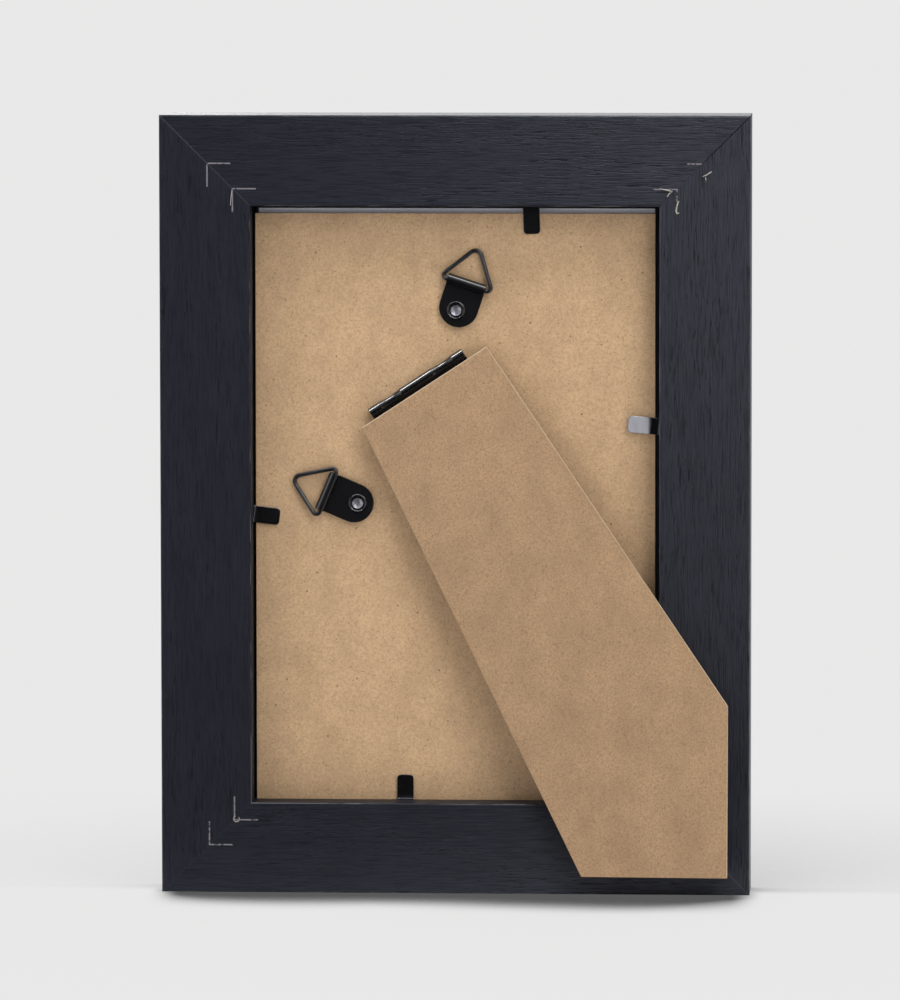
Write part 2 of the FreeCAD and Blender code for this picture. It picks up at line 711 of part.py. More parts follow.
def hanger_strap(label, rivet, turn, shift, loop):
    """A strip folded round the ring's base, with a round end under the rivet."""
    body = new_body(label, on_back(*rivet, -recess, turn) * moved(shift))
    half = s.strap_width / 2
    sheet_one = s.strap_lift + s.strap_sheet
    seam = sheet_one + s.strap_fold_gap
    end = s.strap_end_offset - half - s.cut_overrun
    seam_mouth = other_leg(loop_inner, loop_lift - seam)
    crease = other_leg(loop_outer, strap_top - loop_lift)
    profile = new_sketch(body, "YZ_Plane")
    outline(profile, [
        (end, s.strap_lift),
        (loop, s.strap_lift, "left", loop_outer),
        (loop + loop_outer, loop_lift, "left", loop_outer),
        (loop, loop_lift + loop_outer, "left", loop_outer),
        (loop - crease, strap_top),
        (end, strap_top),
        (end, seam),
        (loop - seam_mouth, seam, "right", loop_inner),
        (loop, loop_lift + loop_inner, "right", loop_inner),
        (loop + loop_inner, loop_lift, "right", loop_inner),
        (loop, sheet_one),
        (end, sheet_one),
    ])
    blank = half + s.cut_overrun
    pad(body, profile, 2 * blank, both_ways=True)
    trim = new_sketch(body, "XY_Plane")
    far = loop + loop_outer + s.cut_overrun
    rectangle(trim, -blank - s.cut_overrun, end - s.cut_overrun, blank + s.cut_overrun, far + s.cut_overrun)
    outline(trim, [
        (-half, s.strap_end_offset, "left", half),
        (0, s.strap_end_offset - half, "left", half),
        (half, s.strap_end_offset),
        (half, far),
        (-half, far),
    ])
    circle(trim, -shift, 0, s.rivet_radius + s.rivet_hole_gap)
    pocket(body, trim)
    return body


def ring_droop():
    """Tilt at which the ring's point lies on the board."""
    drop = float(loop_lift) - float(s.ring_wire_radius) - float(s.strap_lift)
    return math.degrees(math.asin(drop / float(s.ring_height)))


def hanger_ring(label, rivet, turn, shift, loop):
    """A wire triangle whose base turns in the strap's loop. The wire's ends meet inside the loop."""
    droop = Placement(Vector(), Rotation(AXIS_X, -ring_droop()))
    hanging = moved(shift, loop - s.ring_slack, loop_lift) * droop
    body = new_body(label, on_back(*rivet, -recess, turn) * hanging)
    bend = s.ring_bend_radius
    point = s.ring_point_radius
    half = s.ring_base / 2
    climb = s.ring_height - bend - point
    between = hypotenuse(climb, half)
    flank = other_leg(between, point - bend)
    aside = (flank * climb + (point - bend) * half) / (between * between)
    ahead = (flank * half - (point - bend) * climb) / (between * between)
    point_middle = s.ring_height - point
    path = new_sketch(body, "XY_Plane")
    outline(path, [
        (s.ring_end_gap / 2, 0),
        (half, 0, "left", bend),
        (half + bend * aside, bend + bend * ahead),
        (point * aside, point_middle + point * ahead, "left", point),
        (-point * aside, point_middle + point * ahead),
        (-half - bend * aside, bend + bend * ahead, "left", bend),
        (-half, 0),
        (-s.ring_end_gap / 2, 0),
    ], closed=False)
    section = new_sketch(body, "YZ_Plane", s.ring_end_gap / 2)
    polygon(section, s.ring_wire_radius, WIRE_SIDES)
    wire = body.newObject("PartDesign::AdditivePipe", f"{label}_wire")
    wire.Profile = section
    wire.Spine = path
    document.recompute()
    return body


def hanger_rivet(label, rivet):
    """Tubular rivet: clinched tail in the board's front, rolled rim and low dome on the strap."""
    body = new_body(label, on_back(*rivet, -recess))
    tail = -s.board_thickness
    seat = strap_top + s.rivet_fit_gap
    rim = seat + s.rivet_rim_height
    bevel = s.rivet_rim_bevel
    inside = s.rivet_rim_radius - s.rivet_rim_width
    floor = seat + s.rivet_floor
    dome = s.rivet_dome_radius
    rise = s.rivet_dome_rise
    dome_curve = (dome * dome + rise * rise) / (2 * rise)
    profile = new_sketch(body, "XZ_Plane")
    outline(profile, [
        (0, tail),
        (s.rivet_tail_radius, tail),
        (s.rivet_tail_radius, tail + s.rivet_tail_height),
        (s.rivet_radius, tail + s.rivet_tail_height),
        (s.rivet_radius, seat),
        (s.rivet_rim_radius, seat),
        (s.rivet_rim_radius, rim - bevel),
        (s.rivet_rim_radius - bevel, rim),
        (inside + bevel, rim),
        (inside, rim - bevel),
        (dome, floor, "left", dome_curve),
        (0, floor + rise),
    ])
    revolve(body, profile, "V_Axis")
    return body


def build():
    """Every sub-part by its name."""
    half = frame_width / 2
    nodes = {}
    nails = {
        "top_left": corner_nails("nails_top_left", -half, frame_height, 0.0),
        "top_right": corner_nails("nails_top_right", half, frame_height, -QUARTER_TURN),
        "bottom_right": corner_nails("nails_bottom_right", half, 0, HALF_TURN),
        "bottom_left": corner_nails("nails_bottom_left", -half, 0, QUARTER_TURN),
    }
    for name in TABS:
        nodes[f"tab_{name}_anchor"] = tab_anchor(name)
        nodes[f"tab_{name}_blade"] = tab_blade(name)
    middle = float(frame_height) / 2
    rails = {
        "top": (frame_width, Placement(Vector(0, 0, float(frame_height)), Rotation(AXIS_Y, HALF_TURN))),
        "bottom": (frame_width, Placement()),
        "left": (frame_height, Placement(Vector(-float(half), 0, middle), Rotation(AXIS_Y, QUARTER_TURN))),
        "right": (frame_height, Placement(Vector(float(half), 0, middle), Rotation(AXIS_Y, -QUARTER_TURN))),
    }
    for name, (length, place) in rails.items():
        tools = [pair for corner, pair in nails.items() if name in corner]
        tools.append(nodes[f"tab_{name}_anchor"])
        solid_rail = moulding(f"rail_{name}_moulding", length, place)
        nodes[f"rail_{name}"] = without(f"rail_{name}", solid_rail, tools)
    for corner, pair in nails.items():
        nodes[f"nails_{corner}"] = pair
    glass_out = s.lip_thickness - s.frame_depth
    nodes["glass_pane"] = flat_sheet("glass_pane", glass_width, glass_height, s.glass_thickness,
                                     on_back(0, s.rail_width, glass_out))
    nodes["photo_insert"] = flat_sheet("photo_insert", glass_width, glass_height, s.insert_thickness,
                                       on_back(0, s.rail_width, glass_out + s.glass_thickness))
    nodes["hinge_board_leaf"] = hinge_board_leaf()
    nodes["hinge_leg_leaf"] = hinge_leg_leaf()
    nodes["backing_board"] = backing_board(nodes["hinge_board_leaf"])
    nodes["easel_leg"] = easel_leg(nodes["hinge_leg_leaf"])
    hangers = {
        "upper": (UPPER_RIVET, UPPER_HANGER_TURN, s.upper_strap_shift, s.upper_loop_distance, 0),
        "side": (SIDE_RIVET, SIDE_HANGER_TURN, s.side_strap_shift, s.side_loop_distance, s.side_ring_slip),
    }
    for name, (rivet, turn, shift, loop, slip) in hangers.items():
        nodes[f"hanger_{name}_strap"] = hanger_strap(f"hanger_{name}_strap", rivet, turn, shift, loop)
        nodes[f"hanger_{name}_ring"] = hanger_ring(f"hanger_{name}_ring", rivet, turn, shift + slip, loop)
        nodes[f"hanger_{name}_rivet"] = hanger_rivet(f"hanger_{name}_rivet", rivet)
    document.recompute()
    return nodes


def check(nodes):
    for thing in document.Objects:
        if "Invalid" in thing.State or "Error" in thing.State:
            raise RuntimeError(f"{thing.Label} did not compute: {thing.State}")
    for name, thing in nodes.items():
        if thing.Shape.isNull() or not thing.Shape.isValid() or not thing.Shape.Solids:
            raise RuntimeError(f"{name} has no valid solid")


def export(nodes):
    os.makedirs("parts", exist_ok=True)
    for name, thing in nodes.items():
        thing.Shape.exportStep(f"parts/{name}.step")


parts = build()
check(parts)
export(parts)
for name, thing in sorted(parts.items()):
    print(f"{name}: {len(thing.Shape.Solids)} solid, {thing.Shape.Volume:.1f} mm3")
print(f"closed leg tilt {closed_tilt():.3f}, ring droop {ring_droop():.3f}, barrel wrap {barrel_wrap():.1f}")
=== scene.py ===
import json
import math

import bmesh
import bpy
from mathutils import Matrix, Vector


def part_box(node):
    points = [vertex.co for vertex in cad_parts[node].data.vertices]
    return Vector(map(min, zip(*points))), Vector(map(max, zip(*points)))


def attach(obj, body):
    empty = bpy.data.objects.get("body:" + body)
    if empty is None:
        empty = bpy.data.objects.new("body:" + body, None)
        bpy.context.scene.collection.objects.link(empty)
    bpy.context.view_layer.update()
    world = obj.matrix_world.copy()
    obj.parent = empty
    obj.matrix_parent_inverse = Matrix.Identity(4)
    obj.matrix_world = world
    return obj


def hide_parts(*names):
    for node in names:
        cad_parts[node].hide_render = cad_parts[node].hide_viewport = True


# Easel back photo frame, seen from behind. Metres, +Z up. The back of the rails faces -Y.

bl_info = {
    "name": "Easel Back Photo Frame",
    "version": (1, 0, 0),
    "blender": (4, 5, 0),
    "location": "View3D > Sidebar > Photo Frame",
    "description": "Dresses a framed easel back with film, hardboard and black steel finishes",
    "category": "Object",
}

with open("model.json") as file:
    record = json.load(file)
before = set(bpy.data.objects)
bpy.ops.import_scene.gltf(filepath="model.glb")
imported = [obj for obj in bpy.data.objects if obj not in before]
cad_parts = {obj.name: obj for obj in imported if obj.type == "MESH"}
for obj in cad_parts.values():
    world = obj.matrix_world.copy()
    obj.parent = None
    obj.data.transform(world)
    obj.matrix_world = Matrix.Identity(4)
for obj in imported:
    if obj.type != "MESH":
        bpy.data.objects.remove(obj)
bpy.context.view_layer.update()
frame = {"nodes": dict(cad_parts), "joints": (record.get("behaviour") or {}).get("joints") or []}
JOINTS = {joint["name"]: joint for joint in frame["joints"]}

MM = 0.001
OUT = Vector((0, -1, 0))
# Each rail, with the axis that it and its grain run along
RAILS = {"rail_top": "X", "rail_bottom": "X", "rail_left": "Z", "rail_right": "Z"}
SIDES = ("top", "bottom", "left", "right")
HANGERS = ("upper", "side")

# How far the rails' lip reaches past their inner walls
LIP_REACH = 5 * MM
RAIL_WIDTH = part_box("rail_bottom")[1].z - LIP_REACH
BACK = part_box("rail_top")[0].y
BOARD_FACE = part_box("backing_board")[0].y
FRAME_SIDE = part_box("rail_right")[1].x
FRAME_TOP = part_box("rail_top")[1].z
# Each rail's inner wall, by height for the level rails and by side for the upright ones
WALLS = {
    "rail_top": FRAME_TOP - RAIL_WIDTH,
    "rail_bottom": RAIL_WIDTH,
    "rail_left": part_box("rail_left")[1].x - LIP_REACH,
    "rail_right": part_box("rail_right")[0].x + LIP_REACH,
}


def a_colour(title, about, red, green, blue):
    return bpy.props.FloatVectorProperty(
        name=title, description=about, subtype="COLOR", size=3, min=0, max=1, default=(red, green, blue))


def a_length(title, about, millimetres):
    return bpy.props.FloatProperty(
        name=title, description=about, unit="LENGTH", min=0, default=millimetres * MM, precision=5)


def a_share(title, about, amount):
    return bpy.props.FloatProperty(
        name=title, description=about, subtype="FACTOR", min=0, max=1, default=amount)


def an_angle(title, about, degrees):
    return bpy.props.FloatProperty(
        name=title, description=about, subtype="ANGLE", unit="ROTATION", default=math.radians(degrees))


class FilmFinish(bpy.types.PropertyGroup):
    """The black film round the moulding."""

    ground: a_colour("Ground", "Film between the pores", 0.0112, 0.0121, 0.0178)
    pore: a_colour("Pore", "Bottom of the embossed pores", 0.0035, 0.0036, 0.0062)
    worn: a_colour("Worn", "Film rubbed thin along an arris", 0.075, 0.073, 0.074)
    torn: a_colour("Torn", "Backing of the torn film at the nails", 0.30, 0.28, 0.25)
    grain_length: a_length("Grain length", "One embossed streak, along the rail", 9.0)
    grain_width: a_length("Grain width", "One embossed streak, across the rail", 0.42)
    grain_depth: a_length("Grain depth", "Depth of the embossed pores", 0.06)
    gloss_roughness: a_share("Roughness", "Roughness of the satin film", 0.42)
    gloss_tint: a_colour("Gloss tint", "Colour of the film's gloss", 0.84, 0.88, 1.0)
    # Gloss of the film at the bottom left. Its rise towards the right and the top right is a painted sheen.
    polish: a_share("Polish", "Gloss of the film where it is least handled", 0.23)
    painted_sheen_aside: a_share("Polish aside", "Added gloss towards the right rail", 0.24)
    painted_sheen_upward: a_share("Polish upward", "Added gloss towards the top right corner", 0.29)
    pore_dullness: a_share("Pore dullness", "Gloss that the pores lose", 0.5)
    wear_width: a_length("Wear width", "Rubbed band along an arris", 0.35)
    corner_wear: a_length("Corner wear", "Reach of the rubbed arrises at the bottom left", 26.0)
    seam_width: a_length("Seam width", "Line where two rails meet at a mitre", 0.22)
    wear_amount: a_share("Wear amount", "How much of an arris is rubbed", 0.5)


class FibreFinish(bpy.types.PropertyGroup):
    """The hardboard of the back and the fibreboard of the leg."""

    board: a_colour("Board", "Pressed face of the board", 0.495, 0.328, 0.183)
    board_shade: a_colour("Board shade", "Darker blotches of the board", 0.41, 0.268, 0.149)
    leg: a_colour("Leg", "Face of the leg", 0.350, 0.224, 0.124)
    leg_shade: a_colour("Leg shade", "Darker blotches of the leg", 0.282, 0.177, 0.097)
    cut_edge: a_colour("Cut edge", "Sawn edges of the board and leg", 0.58, 0.44, 0.31)
    speck: a_colour("Speck", "Bark specks and fibres", 0.16, 0.085, 0.045)
    # Width of the painted highlight along the leg's top edge
    top_highlight_width: a_length("Burr width", "Pale burr along the leg's sawn top edge", 0.3)
    speck_size: a_length("Speck size", "Spacing of the bark specks", 2.1)
    blotch_size: a_length("Blotch size", "One blotch of the pressed face", 9.0)
    roughness: a_share("Roughness", "Roughness of the pressed face", 0.62)


class SteelFinish(bpy.types.PropertyGroup):
    """The black and bright steel of the fittings."""

    paint: a_colour("Paint", "Gloss black of the hinge and hangers", 0.0025, 0.0025, 0.0035)
    wire: a_colour("Wire", "Oxide on the bent wire rings", 0.004, 0.004, 0.006)
    tab: a_colour("Tab", "Blued tabs", 0.34, 0.34, 0.37)
    bright: a_colour("Bright", "Bare steel of the nails", 0.20, 0.19, 0.21)
    # The rivet's lighter middle is a painted highlight in its dish
    rubbed: a_colour("Rubbed", "Rubbed middle of a rivet", 0.26, 0.26, 0.29)
    paint_roughness: a_share("Paint roughness", "Roughness of the gloss black", 0.24)
    wire_roughness: a_share("Wire roughness", "Roughness of the oxide", 0.32)
    edge_radius: a_length("Edge radius", "Softened edges of the pressed steel", 0.12)


class RingSizes(bpy.types.PropertyGroup):
    """The bent wire triangle of a hanger, at the wire's centre."""

    wire_radius: a_length("Wire radius", "Half the wire's thickness", 0.55)
    base: a_length("Base", "Straight part of the ring's base", 10.7)
    height: a_length("Height", "Base to point, between wire centres", 9.2)
    base_bend: a_length("Base bend", "Bends at the base", 0.95)
    point_bend: a_length("Point bend", "Bend at the point", 1.6)
    point_lift: a_length("Point lift", "Wire's centre above the board at the point", 0.65)
    end_gap: a_length("End gap", "Between the wire's two ends in the loop", 0.2)


class RivetSizes(bpy.types.PropertyGroup):
    """A hanger's tubular rivet, measured from the board's back face."""

    rim_radius: a_length("Rim radius", "Outside of the rolled rim", 2.4)
    rim_width: a_length("Rim width", "Rolled rim, from outside to inside", 0.55)
    rim_top: a_length("Rim top", "Top of the rim above the board", 1.73)
    seat: a_length("Seat", "Underside of the rim above the board", 1.23)
    ledge: a_length("Ledge", "Ledge inside the rim, above the board", 1.5)
    dish_radius: a_length("Dish radius", "Lip of the dished middle", 1.35)
    dish_depth: a_length("Dish depth", "Dished middle below its lip", 0.45)
    shank_radius: a_length("Shank radius", "Shank through strap and board", 1.3)
    tail_radius: a_length("Tail radius", "Clinched tail in the board's front", 2.1)
    tail_height: a_length("Tail height", "Clinched tail in the board's front", 0.4)
    board: a_length("Board", "Thickness of the board", 2.5)


class StageSettings(bpy.types.PropertyGroup):
    """Floor, light and camera."""

    floor_colour: a_colour("Floor", "Pale floor and background", 0.815, 0.812, 0.812)
    floor_shadow: a_colour("Floor shadow", "Floor right beside what stands on it", 0.10, 0.10, 0.10)
    shadow_reach: a_length("Shadow reach", "How far the contact shadow spreads", 52.0)
    floor_size: a_length("Floor size", "Half the floor's side", 30000.0)
    camera_distance: a_length("Camera distance", "From the frame's middle", 2183.7)
    camera_side: an_angle("Camera side", "Camera round to the right of square-on", 3.31)
    camera_rise: an_angle("Camera rise", "Camera above the horizon", 5.22)
    camera_roll: an_angle("Camera roll", "Roll about the view", -0.07)
    camera_aim: a_length("Camera aim", "Height of the middle of the view", 102.0)
    lens: bpy.props.FloatProperty(name="Lens", description="Focal length in millimetres", default=306.0)


# The share of a mark's width within which it stays whole
WHOLE_SHARE = 0.4


class Nodes:
    """A node tree, with short ways to add nodes and join them."""

    def __init__(self, tree):
        self.tree = tree
        tree.nodes.clear()

    def fill(self, node, values):
        for key, value in values.items():
            socket = node.inputs[key]
            if isinstance(value, bpy.types.NodeSocket):
                self.tree.links.new(value, socket)
            elif socket.type == "RGBA":
                socket.default_value = (*value, 1)
            else:
                socket.default_value = value

    def add(self, kind, values, **settings):
        """Adds a node and gives its outputs."""
        node = self.tree.nodes.new(kind)
        for key, value in settings.items():
            setattr(node, key, value)
        self.fill(node, values)
        return node.outputs

    def ramp(self, value, span, result=(0.0, 1.0), kind="LINEAR"):
        """Turns a span of values into a span of results, and holds its ends beyond it."""
        values = {"Value": value, "From Min": span[0], "From Max": span[1],
                  "To Min": result[0], "To Max": result[1]}
        return self.add("ShaderNodeMapRange", values, interpolation_type=kind)["Result"]

    def ease(self, value, span, result=(0.0, 1.0)):
        """A ramp with soft ends."""
        return self.ramp(value, span, result, "SMOOTHSTEP")

    def near(self, value, place, width):
        """1 where value is at place, easing to 0 a width away."""
        away = self.absolute(self.minus(value, place))
        return self.ease(away, (WHOLE_SHARE * width, width), (1, 0))

    def maths(self, operation, *values):
        return self.add("ShaderNodeMath", dict(enumerate(values)), operation=operation)[0]

    def times(self, first, second):
        return self.maths("MULTIPLY", first, second)

    def plus(self, first, second):
        return self.maths("ADD", first, second)

    def minus(self, first, second):
        return self.maths("SUBTRACT", first, second)

    def absolute(self, value):
        return self.maths("ABSOLUTE", value)

    def axes(self, vector):
        return self.add("ShaderNodeSeparateXYZ", {"Vector": vector})

    def mix(self, share, first, second):
        """A colour between two, with this share of the second."""
        return self.add("ShaderNodeMix", {0: share, 6: first, 7: second}, data_type="RGBA")[2]

    def blend(self, share, first, second):
        """A shader between two, with this share of the second."""
        return self.add("ShaderNodeMixShader", {0: share, 1: first, 2: second})[0]

    def seen(self):
        """1 for what the camera sees, directly or through the glass."""
        ray = self.add("ShaderNodeLightPath", {})
        return self.maths("MAXIMUM", ray["Is Camera Ray"], ray["Is Transmission Ray"])


class Finish(Nodes):
    """A material with one principled shader."""

    def __init__(self, name):
        self.material = bpy.data.materials.new(name)
        self.material.use_nodes = True
        super().__init__(self.material.node_tree)
        self.shader = self.tree.nodes.new("ShaderNodeBsdfPrincipled")
        self.output = self.tree.nodes.new("ShaderNodeOutputMaterial")
        self.show(self.shader.outputs["BSDF"])
        place = self.add("ShaderNodeTexCoord", {})
        self.place = place["Object"]
        self.normal = place["Normal"]

    def show(self, shader):
        self.tree.links.new(shader, self.output.inputs["Surface"])

    def surface(self, **values):
        """Sets or joins the shader's own sockets, such as Base_Color."""
        self.fill(self.shader, {key.replace("_", " "): value for key, value in values.items()})

    def stretched(self, steps, shift=(0, 0, 0), where=None):
        """The object's coordinates, counted in steps of so many metres along each axis."""
        scale = [1 / step for step in steps]
        values = {"Vector": where or self.place, "Scale": scale, "Location": shift}
        return self.add("ShaderNodeMapping", values)[0]

    def noise(self, where, detail=3.0, roughness=0.5, distortion=0.0):
        values = {"Vector": where, "Scale": 1.0, "Detail": detail, "Roughness": roughness,
                  "Distortion": distortion}
        return self.add("ShaderNodeTexNoise", values)["Fac"]

    def speckle(self, step, detail, shift=(0, 0, 0), roughness=0.5):
        """Even noise, its marks about a step wide."""
        return self.noise(self.stretched((step, step, step), shift), detail, roughness)

    def bump(self, height, depth, strength, over=None):
        values = {"Height": height, "Distance": depth, "Strength": strength}
        if over is not None:
            values["Normal"] = over
        return self.add("ShaderNodeBump", values)["Normal"]

    def soft_edges(self, radius):
        return self.add("ShaderNodeBevel", {"Radius": radius}, samples=6)["Normal"]

    def squareness(self):
        """1 on faces that look straight back or forward, and 0 on walls and edges."""
        return self.absolute(self.axes(self.normal)[1])


# The levels that most of a noise lies between
MIDDLE = (0.3, 0.7)


def toned(colour, share):
    return [share * part for part in colour]


def wear(node_name, finish):
    """Gives a CAD node its finish."""
    thing = frame["nodes"][node_name]
    thing.data.materials.clear()
    thing.data.materials.append(finish.material)
    return thing


# Film noises: length and width over the grain's own, shift, detail, roughness and distortion
GRAIN = {
    "wave": (2.5, 9, 0.0, 2, 0.5, 0.0),
    "streaks": (1, 1, 0.0, 4, 0.62, 0.35),
    "pores": (0.45, 0.8, 7.3, 2, 0.5, 0.5),
    "bands": (6, 14, 3.1, 2, 0.5, 0.0),
    "patches": (0.6, 3, 1.7, 3, 0.5, 0.0),
}
# Marks of the film: the noise levels between which each comes in, and its strength at both
PORES = (0.55, 0.68), (0.0, 1.0)
PORE_BANDS = (0.38, 0.62), (0.3, 0.9)
STREAKS = (0.38, 0.68), (0.0, 0.55)
WAVES = (0.3, 0.75), (0.0, 0.22)
# The grain's strength on the left rail and on the right one, and that of its relief
GRAIN_STRENGTH = (0.55, 0.85)
RELIEF = 0.9
# The noise level at which an arris is bare, its drop with the wear amount, and the soft spans above it
BARE_LEVEL = 0.62
BARE_DROP = 0.3
RUBBED_SPAN = (0.0, 0.18)
SCUFFED_SPAN = (0.02, 0.22)
SCUFF_STRENGTH = (0.0, 0.8)
CORNER_THINNING = 0.2
# Mitre seams: two rails, whether their line is pale or dark, and its strength
SEAMS = {
    ("rail_top", "rail_left"): ("pale", 0.45),
    ("rail_top", "rail_right"): ("dark", 1.0),
    ("rail_bottom", "rail_left"): ("pale", 0.08),
    ("rail_bottom", "rail_right"): ("pale", 0.3),
}
# A seam's share of its strength by the opening, and where it grows to the whole
SEAM_SHARE = {"pale": 0.7, "dark": 0.2}
SEAM_GROWTH = (9 * MM, 14 * MM)
# Gloss that the opening's walls lose, by how squarely a face looks back
WALL_LOSS = (0.4, 0.8), (0.6, 0.0)
# The streaks change the roughness a little, and the frame's level top is smoother
SATIN_STREAKS = (0.25, 0.75)
SATIN_CHANGE = (0.06, -0.05)
TOP_LEVELNESS = (0.7, 0.95)
TOP_CHANGE = (FRAME_TOP - 6 * MM, FRAME_TOP - 2 * MM), (0.0, -0.2)


class Film(Finish):
    """Black film embossed with wood grain along one rail, and rubbed on its arrises."""

    def __init__(self, rail, along):
        super().__init__(f"film_{rail}")
        look = bpy.context.scene.film_finish
        self.look = look
        self.rail = rail
        self.along = along
        self.x, self.y, self.z = self.axes(self.place)
        self.across_frame = self.ease(self.x, (-FRAME_SIDE, FRAME_SIDE))
        across_rail = self.z if along == "X" else self.x
        self.opening = self.near(across_rail, WALLS[rail], look.wear_width)
        self.streaks = self.grain("streaks")
        depth = self.embossing()
        tone = self.rubbed(self.grained(depth))
        tone, dull = self.seamed(tone, self.times(depth, look.pore_dullness))
        relief = self.bump(self.minus(1.0, depth), look.grain_depth, RELIEF)
        self.surface(Base_Color=tone, Roughness=self.roughness(), Normal=relief,
                     Specular_IOR_Level=self.gloss(dull), Specular_Tint=look.gloss_tint)

    def grain(self, kind):
        length, width, shift, detail, roughness, distortion = GRAIN[kind]
        long = self.look.grain_length * length
        thin = self.look.grain_width * width
        steps = (long, thin, thin) if self.along == "X" else (thin, thin, long)
        return self.noise(self.stretched(steps, (shift, shift, shift)), detail, roughness, distortion)

    def embossing(self):
        """1 at the bottom of a pore, and 0 on the film between."""
        bands = self.ease(self.grain("bands"), *PORE_BANDS)
        pores = self.times(self.ease(self.grain("pores"), *PORES), bands)
        streaks = self.ease(self.streaks, *STREAKS)
        return self.maths("MINIMUM", self.plus(pores, streaks), 1.0)

    def grained(self, depth):
        """The film's tone, darker in the pores and in broad waves."""
        strength = self.ease(self.across_frame, (0.0, 1.0), GRAIN_STRENGTH)
        tone = self.mix(self.times(depth, strength), self.look.ground, self.look.pore)
        return self.mix(self.ease(self.grain("wave"), *WAVES), tone, self.look.pore)

    def rubbed(self, tone):
        """Paler arrises, at the opening and round the outside."""
        look = self.look
        bare = BARE_LEVEL - BARE_DROP * look.wear_amount
        patches = self.grain("patches")
        on_back = self.near(self.y, BACK, look.wear_width)
        by_corner = self.times(self.near(self.x, WALLS["rail_left"], look.corner_wear),
                               self.near(self.z, WALLS["rail_bottom"], look.corner_wear))
        thinned = self.plus(patches, self.times(by_corner, CORNER_THINNING))
        worn = self.ease(thinned, [bare + above for above in RUBBED_SPAN])
        tone = self.mix(self.times(self.times(self.opening, on_back), worn), tone, look.worn)
        scuffed = self.ease(patches, [bare + above for above in SCUFFED_SPAN], SCUFF_STRENGTH)
        for place, outside in ((self.absolute(self.x), FRAME_SIDE), (self.z, FRAME_TOP), (self.z, 0.0)):
            arris = self.times(self.near(place, outside, look.wear_width), on_back)
            tone = self.mix(self.times(arris, scuffed), tone, look.worn)
        return tone

    def past_wall(self, place, rail):
        """How far out from the opening a place is, beyond a rail's inner wall."""
        past = self.minus(place, WALLS[rail])
        return self.times(past, -1.0) if rail in ("rail_bottom", "rail_left") else past

    def seamed(self, tone, dull):
        """The lines where this rail meets its neighbours. A dark one has no gloss."""
        for (level, upright), (kind, strength) in SEAMS.items():
            if self.rail not in (level, upright):
                continue
            away = self.past_wall(self.z, level)
            aside = self.past_wall(self.x, upright)
            line = self.near(self.minus(away, aside), 0.0, self.look.seam_width)
            growth = self.ease(away, SEAM_GROWTH, (strength * SEAM_SHARE[kind], strength))
            line = self.times(line, growth)
            tone = self.mix(line, tone, self.look.worn if kind == "pale" else self.look.pore)
            if kind == "dark":
                dull = self.maths("MAXIMUM", dull, line)
        return tone, dull

    def gloss(self, dull):
        """Most at the top right, where a painted sheen is added, and less in pores and on walls."""
        look = self.look
        # Painted sheen: more gloss towards the right rail and the top right corner
        upward = self.times(self.across_frame, self.ease(self.z, (0.0, FRAME_TOP)))
        polish = self.plus(self.times(self.across_frame, look.painted_sheen_aside),
                           self.times(upward, look.painted_sheen_upward))
        polish = self.plus(polish, look.polish)
        wall = self.times(self.opening, self.ease(self.squareness(), *WALL_LOSS))
        return self.times(self.times(polish, self.minus(1.0, dull)), self.minus(1.0, wall))

    def roughness(self):
        satin = [self.look.gloss_roughness + change for change in SATIN_CHANGE]
        level = self.ease(self.axes(self.normal)[2], TOP_LEVELNESS)
        smoother = self.times(level, self.ease(self.z, *TOP_CHANGE))
        return self.plus(self.ease(self.streaks, SATIN_STREAKS, satin), smoother)


# Steps of the fibreboard's noises
FELT_STEP = 0.55 * MM
GRIT_STEP = 0.42 * MM
FIBRE_STEPS = (2.4 * MM, 2 * MM, 0.22 * MM)
LAYER_STEPS = (1.2 * MM, 0.25 * MM, 1.2 * MM)
BLOTCH_STRETCH = 1.4
# Marks of the fibreboard, like those of the film. More specks lower the grit's levels.
BLOTCHES = (0.3, 0.72), (0.0, 1.0)
FELT = (0.36, 0.68), (0.0, 0.55)
FELT_SHADE = 0.62
LAYERS = (0.35, 0.7), (0.0, 0.6)
GRIT = (0.69, 0.78)
GRIT_DROP = 0.03
GRIT_STRENGTH = 0.7
FIBRES = (0.70, 0.78)
FIBRE_STRENGTH = 0.35
# Radius of a bark speck, in cells, by its cell's random number
SPECK_RADIUS = (0.35, 1.0), (0.0, 0.11)
SPECK_EDGE = 0.03
SPECK_STRENGTH = 0.85
# The turn about Y, in radians, and the shift of each set of loose fibres
FIBRE_SETS = ((0.5, 4.0), (-0.9, 11.0), (1.35, 21.0))
# A face is sawn below this squareness
SAWN = (0.75, 0.9), (1.0, 0.0)
BLOTCH_RELIEF = 0.8
FELT_DEPTH = 0.035 * MM
FELT_ROUGHNESS = (-0.06, 0.08)
# Strength of the painted highlight along the leg's top edge
TOP_HIGHLIGHT_STRENGTH = 0.6


